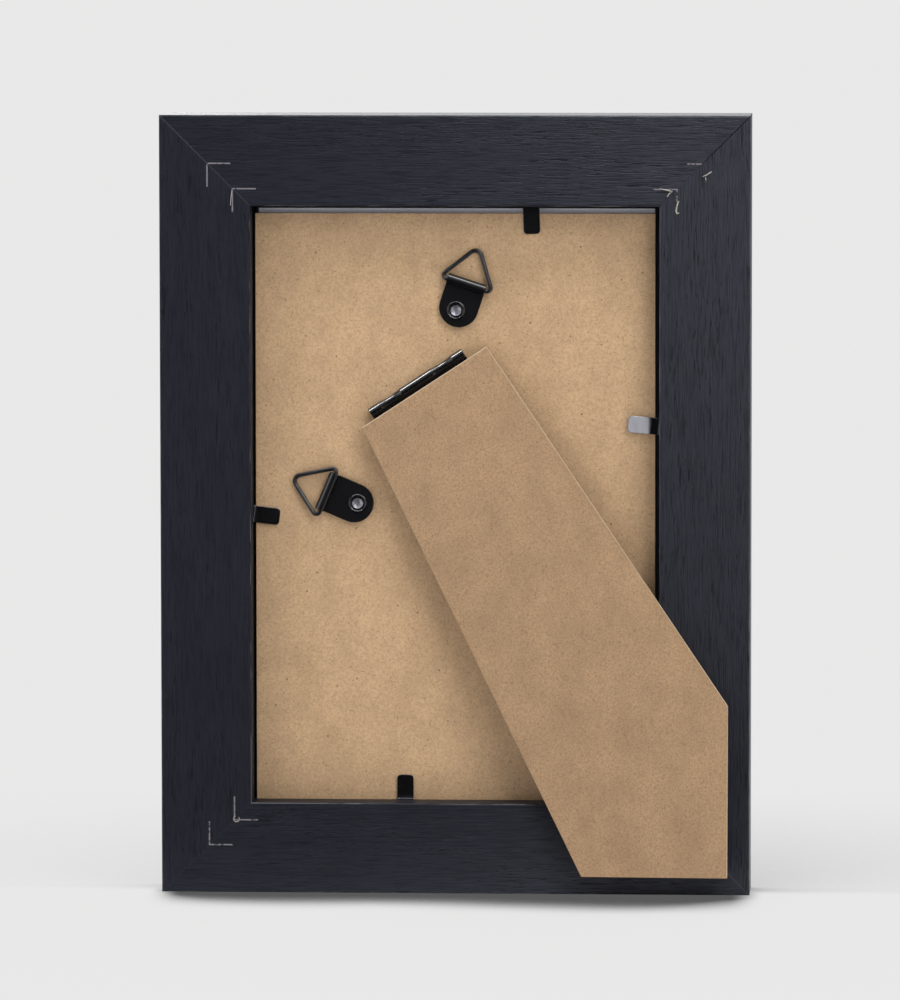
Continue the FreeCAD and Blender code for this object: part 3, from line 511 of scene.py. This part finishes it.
class Fibreboard(Finish):
    """Pressed wood fibre: soft blotches, bark specks, loose fibres and paler sawn edges."""

    def __init__(self, name, face, shade, specks, sheen):
        super().__init__(name)
        look = bpy.context.scene.fibre_finish
        self.look = look
        blotch = look.blotch_size
        clouds = self.noise(self.stretched((blotch, blotch, blotch * BLOTCH_STRETCH)),
                            detail=5, roughness=0.62)
        felt = self.speckle(FELT_STEP, detail=3, roughness=0.75)
        tone = self.mix(self.ease(clouds, *BLOTCHES), face, shade)
        tone = self.mix(self.ease(felt, *FELT), tone, toned(shade, FELT_SHADE))
        tone = self.specked(tone, specks)
        tone = self.fibred(tone, specks)
        self.tone = self.edged(tone, face)
        relief = self.plus(felt, self.times(clouds, BLOTCH_RELIEF))
        roughness = [look.roughness + change for change in FELT_ROUGHNESS]
        self.surface(Base_Color=self.tone, Roughness=self.ease(felt, MIDDLE, roughness),
                     Normal=self.bump(relief, FELT_DEPTH, 0.6), Specular_IOR_Level=sheen)

    def specked(self, tone, specks):
        """Fine grit, and bark specks of uneven size."""
        size = self.look.speck_size / specks
        where = self.stretched((size, size, size), (3.7, 0, 1.2))
        spots = self.add("ShaderNodeTexVoronoi", {"Vector": where, "Scale": 1.0})
        radius = self.ease(self.axes(spots["Color"])[0], *SPECK_RADIUS)
        dots = self.ease(self.minus(spots["Distance"], radius), (-SPECK_EDGE, SPECK_EDGE), (1, 0))
        levels = [level - GRIT_DROP * specks for level in GRIT]
        grit = self.ease(self.speckle(GRIT_STEP, detail=1, shift=(9, 2, 5)), levels, (0, GRIT_STRENGTH))
        tone = self.mix(grit, tone, self.look.speck)
        return self.mix(self.times(dots, SPECK_STRENGTH), tone, self.look.speck)

    def fibred(self, tone, specks):
        """Loose dark fibres, in three directions."""
        for turn, shift in FIBRE_SETS:
            turned = self.add("ShaderNodeMapping", {"Vector": self.place, "Rotation": (0, turn, 0)})[0]
            where = self.stretched(FIBRE_STEPS, (shift, shift, shift), turned)
            fibres = self.ease(self.noise(where, detail=1), FIBRES, (0, FIBRE_STRENGTH * specks))
            tone = self.mix(fibres, tone, self.look.speck)
        return tone

    def edged(self, tone, face):
        """Pale layers on the sawn edges."""
        layers = self.noise(self.stretched(LAYER_STEPS), detail=3)
        edge = self.mix(self.ease(layers, *LAYERS), self.look.cut_edge, face)
        return self.mix(self.ease(self.squareness(), *SAWN), tone, edge)


# Share of the enamel's gloss kept, by how far up a face looks: painted shade that dulls faces looking down
PAINTED_SHADE_BELOW = (-0.45, 0.25), (0.12, 1.0)


def painted_steel(name, roughness, coat, coat_roughness=0.08, coat_index=1.6):
    """Black enamel on pressed sheet: orange peel, soft edges, faint scuffs, and painted shade that dulls its
    gloss below.
    """
    look = bpy.context.scene.steel_finish
    finish = Finish(name)
    peel = finish.speckle(0.8 * MM, detail=2)
    scuffs = finish.noise(finish.stretched((0.25 * MM, 0.25 * MM, 2.5 * MM), (2, 5, 1)), detail=3)
    tone = finish.mix(finish.ease(scuffs, (0.62, 0.8), (0, 0.5)), look.paint, look.wire)
    # Painted shade: faces that look down keep little gloss
    gloss_share_with_painted_shade = finish.ease(finish.axes(finish.normal)[2], *PAINTED_SHADE_BELOW)
    finish.surface(
        Base_Color=tone, Roughness=finish.ease(scuffs, (0.4, 0.75), (roughness, roughness + 0.12)),
        Normal=finish.bump(peel, 0.02 * MM, 0.35, over=finish.soft_edges(look.edge_radius)),
        Specular_IOR_Level=finish.times(gloss_share_with_painted_shade, 0.35), Coat_Weight=finish.times(gloss_share_with_painted_shade, coat),
        Coat_Roughness=coat_roughness, Coat_IOR=coat_index)
    return finish


def oxide_wire():
    """Drawn wire with black oxide, rubbed paler in spots."""
    look = bpy.context.scene.steel_finish
    finish = Finish("ring_oxide")
    rub = finish.speckle(0.9 * MM, detail=4, shift=(1, 3, 8))
    tone = finish.mix(finish.ease(rub, (0.4, 0.75)), look.wire, toned(look.wire, 3))
    roughness = (look.wire_roughness - 0.05, look.wire_roughness + 0.1)
    finish.surface(Base_Color=tone, Roughness=finish.ease(rub, MIDDLE, roughness),
                   Normal=finish.bump(rub, 0.01 * MM, 0.3), Specular_IOR_Level=0.25,
                   Coat_Weight=0.7, Coat_Roughness=0.12)
    return finish


def blued_steel():
    """Rolled and blued spring steel, still bright."""
    look = bpy.context.scene.steel_finish
    finish = Finish("tab_blued")
    rolled = finish.noise(finish.stretched((3 * MM, 0.4 * MM, 3 * MM)), detail=3)
    tone = finish.mix(finish.ease(rolled, MIDDLE, (0, 0.3)), look.tab, toned(look.tab, 0.7))
    finish.surface(Base_Color=tone, Metallic=1.0, Roughness=0.16,
                   Normal=finish.bump(rolled, 0.01 * MM, 0.3, over=finish.soft_edges(look.edge_radius)))
    return finish


def painted_dish_highlight():
    """A rivet's dished middle, lighter and more metallic as a painted highlight."""
    look = bpy.context.scene.steel_finish
    finish = Finish("rivet_dish_painted_highlight")
    rub = finish.speckle(0.5 * MM, detail=3, shift=(4, 2, 7))
    tone = finish.mix(finish.ease(rub, (0.35, 0.7)), look.rubbed, toned(look.rubbed, 0.6))
    finish.surface(Base_Color=tone, Metallic=0.7, Roughness=finish.ease(rub, MIDDLE, (0.28, 0.40)),
                   Normal=finish.bump(rub, 0.01 * MM, 0.3))
    return finish


# Corners, with the share of each corner's nails that film crumbs cover
NAIL_COVER = {"top_left": 0.25, "top_right": 0.45, "bottom_left": 0.3, "bottom_right": 0.5}
# Film left over a leg of a nail: middle and half size in millimetres, by side and by height
NAIL_FILM = {"top_right": (((63.9, 185.0), (0.9, 4.2)), ((57.5, 188.8), (2.6, 0.9)))}
# The noise level where a crumb begins, its drop with the cover, and its soft edge
CRUMB_LEVEL = 0.68
CRUMB_DROP = 0.3
CRUMB_EDGE = 0.07


def bare_steel(corner, covered):
    """The sheared steel edges of a corner's nails, partly covered with crumbs of film."""
    steel = bpy.context.scene.steel_finish
    look = bpy.context.scene.film_finish
    finish = Finish(f"nail_edges_{corner}")
    crumbs = finish.speckle(0.7 * MM, detail=3, shift=(6, 1, 2))
    bared = CRUMB_LEVEL - CRUMB_DROP * covered
    crumb = finish.ease(crumbs, (bared - CRUMB_EDGE, bared + CRUMB_EDGE))
    tone = finish.mix(crumb, steel.bright, look.ground)
    axes = finish.axes(finish.place)
    for (side, height), (half_side, half_height) in NAIL_FILM.get(corner, ()):
        patch = finish.times(finish.near(axes[0], side * MM, half_side * MM),
                             finish.near(axes[2], height * MM, half_height * MM))
        tone = finish.mix(finish.ease(patch, (0.05, 0.3)), tone, look.ground)
    finish.surface(Base_Color=tone, Metallic=0.35, Normal=finish.bump(crumbs, 0.05 * MM, 0.5),
                   Roughness=finish.ease(crumbs, MIDDLE, (0.35, 0.6)))
    return finish


def torn_film():
    """The fuzzy backing of the film, where it is torn."""
    look = bpy.context.scene.film_finish
    finish = Finish("torn_film")
    fuzz = finish.speckle(0.5 * MM, detail=3)
    tone = finish.mix(finish.ease(fuzz, (0.4, 0.7), (0, 0.5)), look.torn, look.worn)
    finish.surface(Base_Color=tone, Roughness=0.8, Normal=finish.bump(fuzz, 0.05 * MM, 0.6))
    return finish


def added(name, data):
    """A new object in the scene."""
    thing = bpy.data.objects.new(name, data)
    bpy.context.scene.collection.objects.link(thing)
    return thing


def placed_mesh(name, mesh, finish, body, stands_for=None):
    """Links a mesh as a piece that rides on a body."""
    thing = added(name, mesh)
    mesh.materials.clear()
    mesh.materials.append(finish.material)
    mesh.polygons.foreach_set("use_smooth", [True] * len(mesh.polygons))
    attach(thing, body)
    if stands_for:
        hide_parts(stands_for)


def circle(shape, middle, across, ahead, radius, steps):
    """Vertices round a middle, or the middle alone where the radius is 0."""
    if radius == 0:
        return [shape.verts.new(middle)]
    turns = [2 * math.pi * step / steps for step in range(steps)]
    return [shape.verts.new(middle + (across * math.cos(turn) + ahead * math.sin(turn)) * radius)
            for turn in turns]


def solid_mesh(name, shape, rings):
    """Closes a row of circles into a solid, with flat ends unless they are single points."""
    steps = max(len(ring) for ring in rings)
    for first, second in zip(rings, rings[1:]):
        for step in range(steps):
            following = (step + 1) % steps
            corners = [first[step % len(first)], first[following % len(first)],
                       second[following % len(second)], second[step % len(second)]]
            shape.faces.new(list(dict.fromkeys(corners)))
    if len(rings[0]) > 1:
        shape.faces.new(rings[0][::-1])
    if len(rings[-1]) > 1:
        shape.faces.new(rings[-1])
    bmesh.ops.recalc_face_normals(shape, faces=shape.faces)
    mesh = bpy.data.meshes.new(name)
    shape.to_mesh(mesh)
    shape.free()
    return mesh


def tube_mesh(name, points, radii, sides):
    """A round tube through points, with a radius at each."""
    shape = bmesh.new()
    rings = []
    across = None
    for number, point in enumerate(points):
        before = points[max(number - 1, 0)]
        after = points[min(number + 1, len(points) - 1)]
        along = (after - before).normalized()
        if across is None:
            across = along.orthogonal().normalized()
        across = (across - along * across.dot(along)).normalized()
        rings.append(circle(shape, point, across, along.cross(across), radii[number], sides))
    return solid_mesh(name, shape, rings)


def turned_mesh(name, profile, steps, place, across, ahead):
    """A solid turned about OUT at place, from (radius, height) points between two on the axis."""
    shape = bmesh.new()
    rings = [circle(shape, place + OUT * height, across, ahead, radius, steps) for radius, height in profile]
    return solid_mesh(name, shape, rings)


def arc(centre, radius, start, end, steps):
    """Points of an arc about centre in the plane, from one angle to another."""
    turns = [start + (end - start) * step / steps for step in range(steps + 1)]
    return [(centre[0] + radius * math.cos(turn), centre[1] + radius * math.sin(turn)) for turn in turns]


def hanger_axes(place):
    """Across and ahead of a hanger's strap, in the frame's coordinates."""
    across = Vector(JOINTS[f"{place}_ring_swing"]["axis"])
    return across, OUT.cross(across)


class PHOTOFRAME_OT_rails(bpy.types.Operator):
    """Dress the four rails in embossed black film"""

    bl_idname = "photoframe.rails"
    bl_label = "Rails"

    def execute(self, context):
        for rail, along in RAILS.items():
            wear(rail, Film(rail, along))
        return {"FINISHED"}


# Torn film beside the nails: (side, height) on the back and radius, in millimetres
CURL = arc((-56.5, 19.1), 0.75, math.radians(110), math.radians(400), 14)
TORN_FILM = {
    "splinter_top_right_outer": ([(63.6, 185.2), (64.5, 185.6), (65.9, 186.5)], 0.17),
    "splinter_top_right_tail": ([(64.3, 185.1), (64.4, 184.5), (64.45, 183.9)], 0.13),
    "strand_top_right": ([(52.6, 182.1), (54.2, 181.8), (55.9, 181.4)], 0.17),
    "strand_top_right_end": ([(55.7, 181.3), (55.0, 180.8), (54.5, 180.0)], 0.18),
    "splinter_top_right_inner": (
        [(57.45, 179.0), (57.0, 177.6), (56.75, 176.5), (57.05, 175.7), (57.6, 176.0)], 0.22),
    "sliver_top_left": ([(-57.5, 177.6), (-57.4, 179.2), (-57.1, 181.6)], 0.12),
    "curl_bottom_left": (CURL, 0.13),
}
STRAND_SIDES = 8
# A strand's lift in radii, its share of the radius and the half wave that swells it: start and gain
STRAND_LIFT = (0.6, 1.6)
STRAND_THICKNESS = (0.45, 0.55)
STRAND_SWELL = (0.15, 0.7)


class PHOTOFRAME_OT_nails(bpy.types.Operator):
    """Dress the V-nails and raise the torn film beside them"""

    bl_idname = "photoframe.nails"
    bl_label = "Nails"

    def execute(self, context):
        for corner, covered in NAIL_COVER.items():
            wear(f"nails_{corner}", bare_steel(corner, covered))
        finish = torn_film()
        for name, (places, radius) in TORN_FILM.items():
            self.strand(name, places, radius * MM, finish)
        return {"FINISHED"}

    def strand(self, name, places, radius, finish):
        """A sliver that lifts off the back towards its free end and tapers at both."""
        points = []
        radii = []
        for number, (side, height) in enumerate(places):
            share = number / (len(places) - 1)
            lift = radius * (STRAND_LIFT[0] + STRAND_LIFT[1] * share)
            swell = math.sin(math.pi * (STRAND_SWELL[0] + STRAND_SWELL[1] * share))
            points.append(Vector((side * MM, BACK - lift, height * MM)))
            radii.append(radius * (STRAND_THICKNESS[0] + STRAND_THICKNESS[1] * swell))
        placed_mesh(name, tube_mesh(name, points, radii, STRAND_SIDES), finish, "frame_body")


class PHOTOFRAME_OT_board(bpy.types.Operator):
    """Dress the backing board in tan hardboard"""

    bl_idname = "photoframe.board"
    bl_label = "Backing board"

    def execute(self, context):
        look = context.scene.fibre_finish
        finish = Fibreboard("hardboard_face", look.board, look.board_shade, specks=0.8, sheen=0.35)
        wear("backing_board", finish)
        return {"FINISHED"}


class PHOTOFRAME_OT_leg(bpy.types.Operator):
    """Dress the easel leg in raw fibreboard"""

    bl_idname = "photoframe.leg"
    bl_label = "Easel leg"

    def execute(self, context):
        look = context.scene.fibre_finish
        finish = Fibreboard("leg_face", look.leg, look.leg_shade, specks=1.6, sheen=0.3)
        leg = wear("easel_leg", finish)
        # A painted highlight along the leg's top edge, in the colour of the sawn edges
        painted_top_highlight = self.painted_top_highlight(finish, leg, look.top_highlight_width)
        finish.surface(Base_Color=finish.mix(painted_top_highlight, finish.tone, look.cut_edge))
        return {"FINISHED"}

    def painted_top_highlight(self, finish, leg, width):
        """Where the painted highlight lies along the sawn top edge, beside the hinge."""
        uphill = OUT.cross(-Vector(JOINTS["leg_hinge"]["axis"]))
        reach = max(corner.co.dot(uphill) for corner in leg.data.vertices)
        values = {0: finish.place, 1: tuple(uphill)}
        height = finish.add("ShaderNodeVectorMath", values, operation="DOT_PRODUCT")["Value"]
        return finish.times(finish.near(height, reach, width), TOP_HIGHLIGHT_STRENGTH)


class PHOTOFRAME_OT_hinge(bpy.types.Operator):
    """Dress both hinge leaves in gloss black"""

    bl_idname = "photoframe.hinge"
    bl_label = "Hinge"

    def execute(self, context):
        look = context.scene.steel_finish
        finish = painted_steel("hinge_black", look.paint_roughness, coat=0.9, coat_index=1.8)
        for leaf in ("hinge_leg_leaf", "hinge_board_leaf"):
            wear(leaf, finish)
        return {"FINISHED"}


class PHOTOFRAME_OT_straps(bpy.types.Operator):
    """Dress the folded hanger straps in satin black"""

    bl_idname = "photoframe.straps"
    bl_label = "Hanger straps"

    def execute(self, context):
        look = context.scene.steel_finish
        finish = painted_steel("strap_black", look.paint_roughness + 0.1, coat=0.8)
        for place in HANGERS:
            wear(f"hanger_{place}_strap", finish)
        return {"FINISHED"}


WIRE_SIDES = 24
BASE_BEND_STEPS = 12
POINT_BEND_STEPS = 14


class PHOTOFRAME_OT_rings(bpy.types.Operator):
    """Bend the wire rings that turn in the straps' loops"""

    bl_idname = "photoframe.rings"
    bl_label = "Hanger rings"

    def execute(self, context):
        sizes = context.scene.ring_sizes
        finish = oxide_wire()
        outline = self.outline(sizes)
        for place in HANGERS:
            self.ring(place, outline, sizes, finish)
        return {"FINISHED"}

    def outline(self, sizes):
        """The wire's centre in its own plane, from one end round to the other."""
        half = sizes.base / 2
        bend = sizes.base_bend
        right = (half, bend)
        left = (-half, bend)
        point = (0, sizes.height - sizes.point_bend)
        lean = math.atan2(right[1] - point[1], right[0] - point[0])
        facing = lean + math.acos((sizes.point_bend - bend) / math.dist(right, point))
        quarter = math.pi / 2
        places = [(sizes.end_gap / 2, 0), (half / 2, 0)]
        places += arc(right, bend, -quarter, facing, BASE_BEND_STEPS)
        places += arc(point, sizes.point_bend, facing, math.pi - facing, POINT_BEND_STEPS)
        places += arc(left, bend, math.pi - facing, 3 * quarter, BASE_BEND_STEPS)
        places += [(-half / 2, 0), (-sizes.end_gap / 2, 0)]
        return places

    def ring(self, place, outline, sizes, finish):
        """A ring that hangs in its strap's loop, with its point down on the board."""
        across, ahead = hanger_axes(place)
        middle = Vector(JOINTS[f"{place}_ring_swing"]["pos_m"])
        lift = BOARD_FACE - middle.y
        droop = math.asin((lift - sizes.point_lift) / sizes.height)
        forward = ahead * math.cos(droop) - OUT * math.sin(droop)
        points = [middle + across * x + forward * y for x, y in outline]
        name = f"{place}_ring_wire"
        mesh = tube_mesh(name, points, [sizes.wire_radius] * len(points), WIRE_SIDES)
        placed_mesh(name, mesh, finish, f"{place}_ring", f"hanger_{place}_ring")


RIVET_STEPS = 48
ROLL_STEPS = 12
DISH_STEPS = 8
# The rim's underside and the ledge reach in below the roll by this share of its radius
ROLL_TUCK = 0.3


class PHOTOFRAME_OT_rivets(bpy.types.Operator):
    """Turn the tubular rivets with their rolled rims and dished middles"""

    bl_idname = "photoframe.rivets"
    bl_label = "Hanger rivets"

    def execute(self, context):
        look = context.scene.steel_finish
        sizes = context.scene.rivet_sizes
        black = painted_steel("rivet_black", look.paint_roughness - 0.04, coat=1.0, coat_roughness=0.22)
        # The dish's lighter finish is a painted highlight
        rubbed = painted_dish_highlight()
        profile = self.profile(sizes)
        for place in HANGERS:
            self.rivet(place, profile, sizes, black, rubbed)
        return {"FINISHED"}

    def rivet(self, place, profile, sizes, black, rubbed):
        """A black rivet, the faces of its dished middle in a second slot."""
        across, ahead = hanger_axes(place)
        low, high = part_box(f"hanger_{place}_rivet")
        middle = Vector(((low.x + high.x) / 2, BOARD_FACE, (low.z + high.z) / 2))
        name = f"{place}_rivet_turned"
        mesh = turned_mesh(name, profile, RIVET_STEPS, middle, across, ahead)
        placed_mesh(name, mesh, black, "frame_body", f"hanger_{place}_rivet")
        mesh.materials.append(rubbed.material)
        for face in mesh.polygons:
            offset = face.center - middle
            height = offset.dot(OUT)
            if height > 0 and (offset - OUT * height).length < sizes.dish_radius:
                face.material_index = 1

    def profile(self, sizes):
        """The rivet's half section as (radius, height), from the tail's middle to the dish's."""
        roll = sizes.rim_width / 2
        tuck = ROLL_TUCK * roll
        rim_middle = (sizes.rim_radius - roll, sizes.rim_top - roll)
        curve = (sizes.dish_radius ** 2 + sizes.dish_depth ** 2) / (2 * sizes.dish_depth)
        spread = math.asin(sizes.dish_radius / curve)
        bottom = sizes.ledge - sizes.dish_depth
        dish = arc((0, bottom + curve), curve, spread - math.pi / 2, -math.pi / 2, DISH_STEPS)
        dish[-1] = (0, bottom)
        tail = -sizes.board
        return [
            (0, tail),
            (sizes.tail_radius, tail),
            (sizes.tail_radius, tail + sizes.tail_height),
            (sizes.shank_radius, tail + sizes.tail_height),
            (sizes.shank_radius, sizes.seat),
            (sizes.rim_radius - tuck, sizes.seat),
            *arc(rim_middle, roll, -math.pi / 6, math.pi, ROLL_STEPS),
            (sizes.rim_radius - sizes.rim_width - tuck, sizes.ledge),
            *dish,
        ]


class PHOTOFRAME_OT_tabs(bpy.types.Operator):
    """Dress the bendable tabs in blued spring steel"""

    bl_idname = "photoframe.tabs"
    bl_label = "Tabs"

    def execute(self, context):
        finish = blued_steel()
        for side in SIDES:
            wear(f"tab_{side}_anchor", finish)
            wear(f"tab_{side}_blade", finish)
        return {"FINISHED"}


CARD_CLEARANCE = 0.03 * MM
# From here outwards the card's sides are darkened as a painted shadow in the gaps beside the board
CARD_SHADOWED_SIDES = (50.9 * MM, 51.2 * MM)
CARD_PAINTED_SHADOW = (0.02, 0.018, 0.022)
CARD_TONES = ((0.80, 0.79, 0.85), (0.74, 0.73, 0.80))
GLASS_TONES = ((0.97, 0.99, 0.98), (0.94, 0.98, 0.96))
# The card has a faint painted glow, and lets this share of light through
CARD_PAINTED_GLOW = 0.07
CARD_THROUGH = 0.1


class PHOTOFRAME_OT_glazing(bpy.types.Operator):
    """Dress the glass pane and the card behind it"""

    bl_idname = "photoframe.glazing"
    bl_label = "Glass and card"

    def execute(self, context):
        wear("glass_pane", self.clear_pane())
        sheet = wear("photo_insert", self.paper())
        # Glass, card and board touch, so the card's faces draw back a hair from theirs
        clear = sheet.modifiers.new("clear_of_glass", "DISPLACE")
        clear.strength = -CARD_CLEARANCE
        clear.mid_level = 0
        return {"FINISHED"}

    def clear_pane(self):
        glass = Finish("clear_pane")
        ripple = glass.speckle(30 * MM, detail=1)
        tint = glass.mix(glass.ease(ripple, MIDDLE), *GLASS_TONES)
        glass.surface(Base_Color=tint, Roughness=0.0, Transmission_Weight=1.0, IOR=1.5, Alpha=0.25,
                      Normal=glass.bump(ripple, 0.02 * MM, 0.1))
        return glass

    def paper(self):
        card = Finish("insert_paper")
        pulp = card.speckle(0.6 * MM, detail=4)
        tone = card.mix(card.ease(pulp, MIDDLE), *CARD_TONES)
        # Painted shadow: the card's sides go dark where they show in the gaps beside the board
        aside = card.absolute(card.axes(card.place)[0])
        tone = card.mix(card.ease(aside, CARD_SHADOWED_SIDES), tone, CARD_PAINTED_SHADOW)
        # The emission is painted light that brightens the card where it shows in the gap
        card.surface(Base_Color=tone, Roughness=0.85, Normal=card.bump(pulp, 0.03 * MM, 0.4),
                     Emission_Color=tone, Emission_Strength=CARD_PAINTED_GLOW)
        through = card.add("ShaderNodeBsdfTranslucent", {"Color": tone})[0]
        card.show(card.blend(CARD_THROUGH, card.shader.outputs[0], through))
        return card


# Soft lamps: name, place, width and height in metres, and power in watts
LAMPS = (
    ("key", (0.72, -0.95, 0.95), 0.55, 0.55, 6.0),
    ("left_fill", (-1.3, -0.8, 0.45), 0.9, 0.9, 3.0),
    ("overhead_strip", (-0.12, -0.33, 1.15), 1.5, 0.32, 12.0),
    ("barrel_glint", (-0.80, -0.35, 1.12), 0.25, 0.25, 3.0),
    ("sheen", (0.32, -0.62, 0.38), 0.16, 0.16, 0.7),
    ("front_fill", (-0.7, 1.7, 0.9), 1.2, 1.2, 8.0),
)
# The room by direction: pale to the left and right, dark round the camera, and lit beyond the frame
ROOM_COLOUR = (0.98, 0.985, 1.0)
ROOM_SPREAD = (-0.6, 0.6)
PALE_ROOM = (0.34, 0.50)
DARK_CONE = (-0.96, -0.80)
DARK_ROOM = 0.01
BACKDROP_SPREAD = (0.2, 0.7)
PALE_BACKDROP = 0.5
# A dark strip of floor widens from the frame towards the camera, and shows only in the gloss
STRIP_HALF = 0.09
STRIP_WIDENING = 0.24
STRIP_EDGE = 0.03
STRIP_START = (-0.06, -0.02)
# A tight shadow lies on the camera's side of the frame, and a wide one behind it and to the right
CAMERA_SIDE = (-6 * MM, 4 * MM)
SHADOW_OPENNESS = (0.66, 0.90)
SHADOW_SIDE = (FRAME_SIDE - 5 * MM, FRAME_SIDE + 4 * MM)
SOFT_REACH = 4
SOFT_BEHIND = 1.1
SOFT_SIDES = (0.5, 1.0)
# The camera's small shift to its own side and up, and how far it sees
CAMERA_SHIFT = (-1.2 * MM, -0.02 * MM)
FARTHEST = 100


class PHOTOFRAME_OT_stage(bpy.types.Operator):
    """Lay the pale floor, hang the soft lamps and set the camera"""

    bl_idname = "photoframe.stage"
    bl_label = "Stage"

    def execute(self, context):
        look = context.scene.stage_settings
        self.floor(look)
        self.world(look)
        for lamp in LAMPS:
            self.lamp(*lamp, look.camera_aim)
        self.camera(look)
        context.scene.view_settings.view_transform = "Standard"
        return {"FINISHED"}

    def floor(self, look):
        mesh = bpy.data.meshes.new("floor")
        half = look.floor_size
        corners = [(-half, -half, 0), (half, -half, 0), (half, half, 0), (-half, half, 0)]
        mesh.from_pydata(corners, [], [(0, 1, 2, 3)])
        floor = added("floor", mesh)
        mesh.materials.append(self.floor_finish(look).material)

    def floor_finish(self, look):
        """As pale as the background where it is seen, and plain to the light."""
        finish = Finish("pale_floor")
        x, y = list(finish.axes(finish.place))[:2]
        pale = self.shadowed(finish, look, x, y)
        seen = finish.add("ShaderNodeEmission", {"Color": pale, "Strength": 1.0})[0]
        plain = finish.add("ShaderNodeBsdfDiffuse", {"Color": look.floor_colour})[0]
        dim = finish.add("ShaderNodeEmission", {"Color": look.floor_colour, "Strength": DARK_ROOM})[0]
        unseen = finish.blend(self.dark_strip(finish, x, y), plain, dim)
        finish.show(finish.blend(finish.seen(), unseen, seen))
        finish.tree.nodes.remove(finish.shader)
        return finish

    def openness(self, finish, reach, samples):
        """How much of the sky the floor sees within reach."""
        return finish.add("ShaderNodeAmbientOcclusion", {"Distance": reach}, samples=samples)["AO"]

    def shadowed(self, finish, look, x, y):
        camera_side = finish.ease(y, CAMERA_SIDE, (1, 0))
        core = finish.ease(self.openness(finish, look.shadow_reach, samples=24), SHADOW_OPENNESS, (1, 0))
        below = finish.ease(finish.absolute(x), SHADOW_SIDE, (1, 0))
        contact = finish.times(core, finish.times(camera_side, below))
        wide = self.openness(finish, SOFT_REACH * look.shadow_reach, samples=8)
        soft = finish.times(finish.minus(1.0, wide), finish.minus(SOFT_BEHIND, camera_side))
        soft = finish.times(soft, finish.ease(x, (-FRAME_SIDE, FRAME_SIDE), SOFT_SIDES))
        pale = finish.mix(soft, look.floor_colour, look.floor_shadow)
        return finish.mix(contact, pale, look.floor_shadow)

    def dark_strip(self, finish, x, y):
        aside = finish.minus(finish.absolute(x), finish.times(y, -STRIP_WIDENING))
        strip = finish.times(finish.ease(aside, (STRIP_HALF - STRIP_EDGE, STRIP_HALF + STRIP_EDGE), (1, 0)),
                             finish.ease(y, STRIP_START, (1, 0)))
        return finish.times(finish.add("ShaderNodeLightPath", {})["Is Glossy Ray"], strip)

    def world(self, look):
        """A pale room, brighter to the right and dark behind the camera."""
        world = bpy.data.worlds.new("pale_room")
        bpy.context.scene.world = world
        world.use_nodes = True
        nodes = Nodes(world.node_tree)
        axes = nodes.axes(nodes.add("ShaderNodeTexCoord", {})["Generated"])
        pale = nodes.times(nodes.ramp(axes[0], ROOM_SPREAD, PALE_ROOM), nodes.ramp(axes[1], DARK_CONE))
        backdrop = nodes.ramp(axes[1], BACKDROP_SPREAD, (DARK_ROOM, PALE_BACKDROP))
        strength = nodes.plus(pale, backdrop)
        room = nodes.add("ShaderNodeBackground", {"Color": ROOM_COLOUR, "Strength": strength})[0]
        seen = nodes.add("ShaderNodeBackground", {"Color": look.floor_colour})[0]
        nodes.add("ShaderNodeOutputWorld", {"Surface": nodes.blend(nodes.seen(), room, seen)})

    def lamp(self, name, place, width, height, power, aim):
        data = bpy.data.lights.new(name, "AREA")
        data.shape = "RECTANGLE"
        data.size = width
        data.size_y = height
        data.energy = power
        lamp = added(name, data)
        lamp.location = place
        lamp.rotation_euler = (Vector((0, 0, aim)) - lamp.location).to_track_quat("-Z", "Y").to_euler()

    def camera(self, look):
        data = bpy.data.cameras.new("camera")
        data.lens = look.lens
        data.clip_end = FARTHEST
        camera = added("camera", data)
        turn = (Matrix.Rotation(math.pi / 2, 4, "X") @ Matrix.Rotation(look.camera_side, 4, "Y")
                @ Matrix.Rotation(-look.camera_rise, 4, "X") @ Matrix.Rotation(look.camera_roll, 4, "Z"))
        offset = turn @ Vector((*CAMERA_SHIFT, look.camera_distance))
        place = Vector((0, BACK, look.camera_aim)) + offset
        camera.matrix_world = Matrix.Translation(place) @ turn
        bpy.context.scene.camera = camera


OPERATORS = (
    PHOTOFRAME_OT_rails,
    PHOTOFRAME_OT_nails,
    PHOTOFRAME_OT_board,
    PHOTOFRAME_OT_leg,
    PHOTOFRAME_OT_hinge,
    PHOTOFRAME_OT_straps,
    PHOTOFRAME_OT_rings,
    PHOTOFRAME_OT_rivets,
    PHOTOFRAME_OT_tabs,
    PHOTOFRAME_OT_glazing,
    PHOTOFRAME_OT_stage,
)


class PHOTOFRAME_PT_panel(bpy.types.Panel):
    """Lists the steps that dress the photo frame"""

    bl_label = "Photo Frame"
    bl_idname = "PHOTOFRAME_PT_panel"
    bl_space_type = "VIEW_3D"
    bl_region_type = "UI"
    bl_category = "Photo Frame"

    def draw(self, context):
        for operator in OPERATORS:
            self.layout.operator(operator.bl_idname)


GROUPS = {
    "film_finish": FilmFinish,
    "fibre_finish": FibreFinish,
    "steel_finish": SteelFinish,
    "ring_sizes": RingSizes,
    "rivet_sizes": RivetSizes,
    "stage_settings": StageSettings,
}


CLASSES = (*GROUPS.values(), *OPERATORS, PHOTOFRAME_PT_panel)


def register():
    for kind in CLASSES:
        bpy.utils.register_class(kind)
    for name, group in GROUPS.items():
        setattr(bpy.types.Scene, name, bpy.props.PointerProperty(type=group))


def unregister():
    for name in GROUPS:
        delattr(bpy.types.Scene, name)
    for kind in reversed(CLASSES):
        bpy.utils.unregister_class(kind)


def main():
    register()
    for operator in OPERATORS:
        step = operator.bl_idname.split(".")[1]
        getattr(bpy.ops.photoframe, step)()


if __name__ == "__main__":
    main()
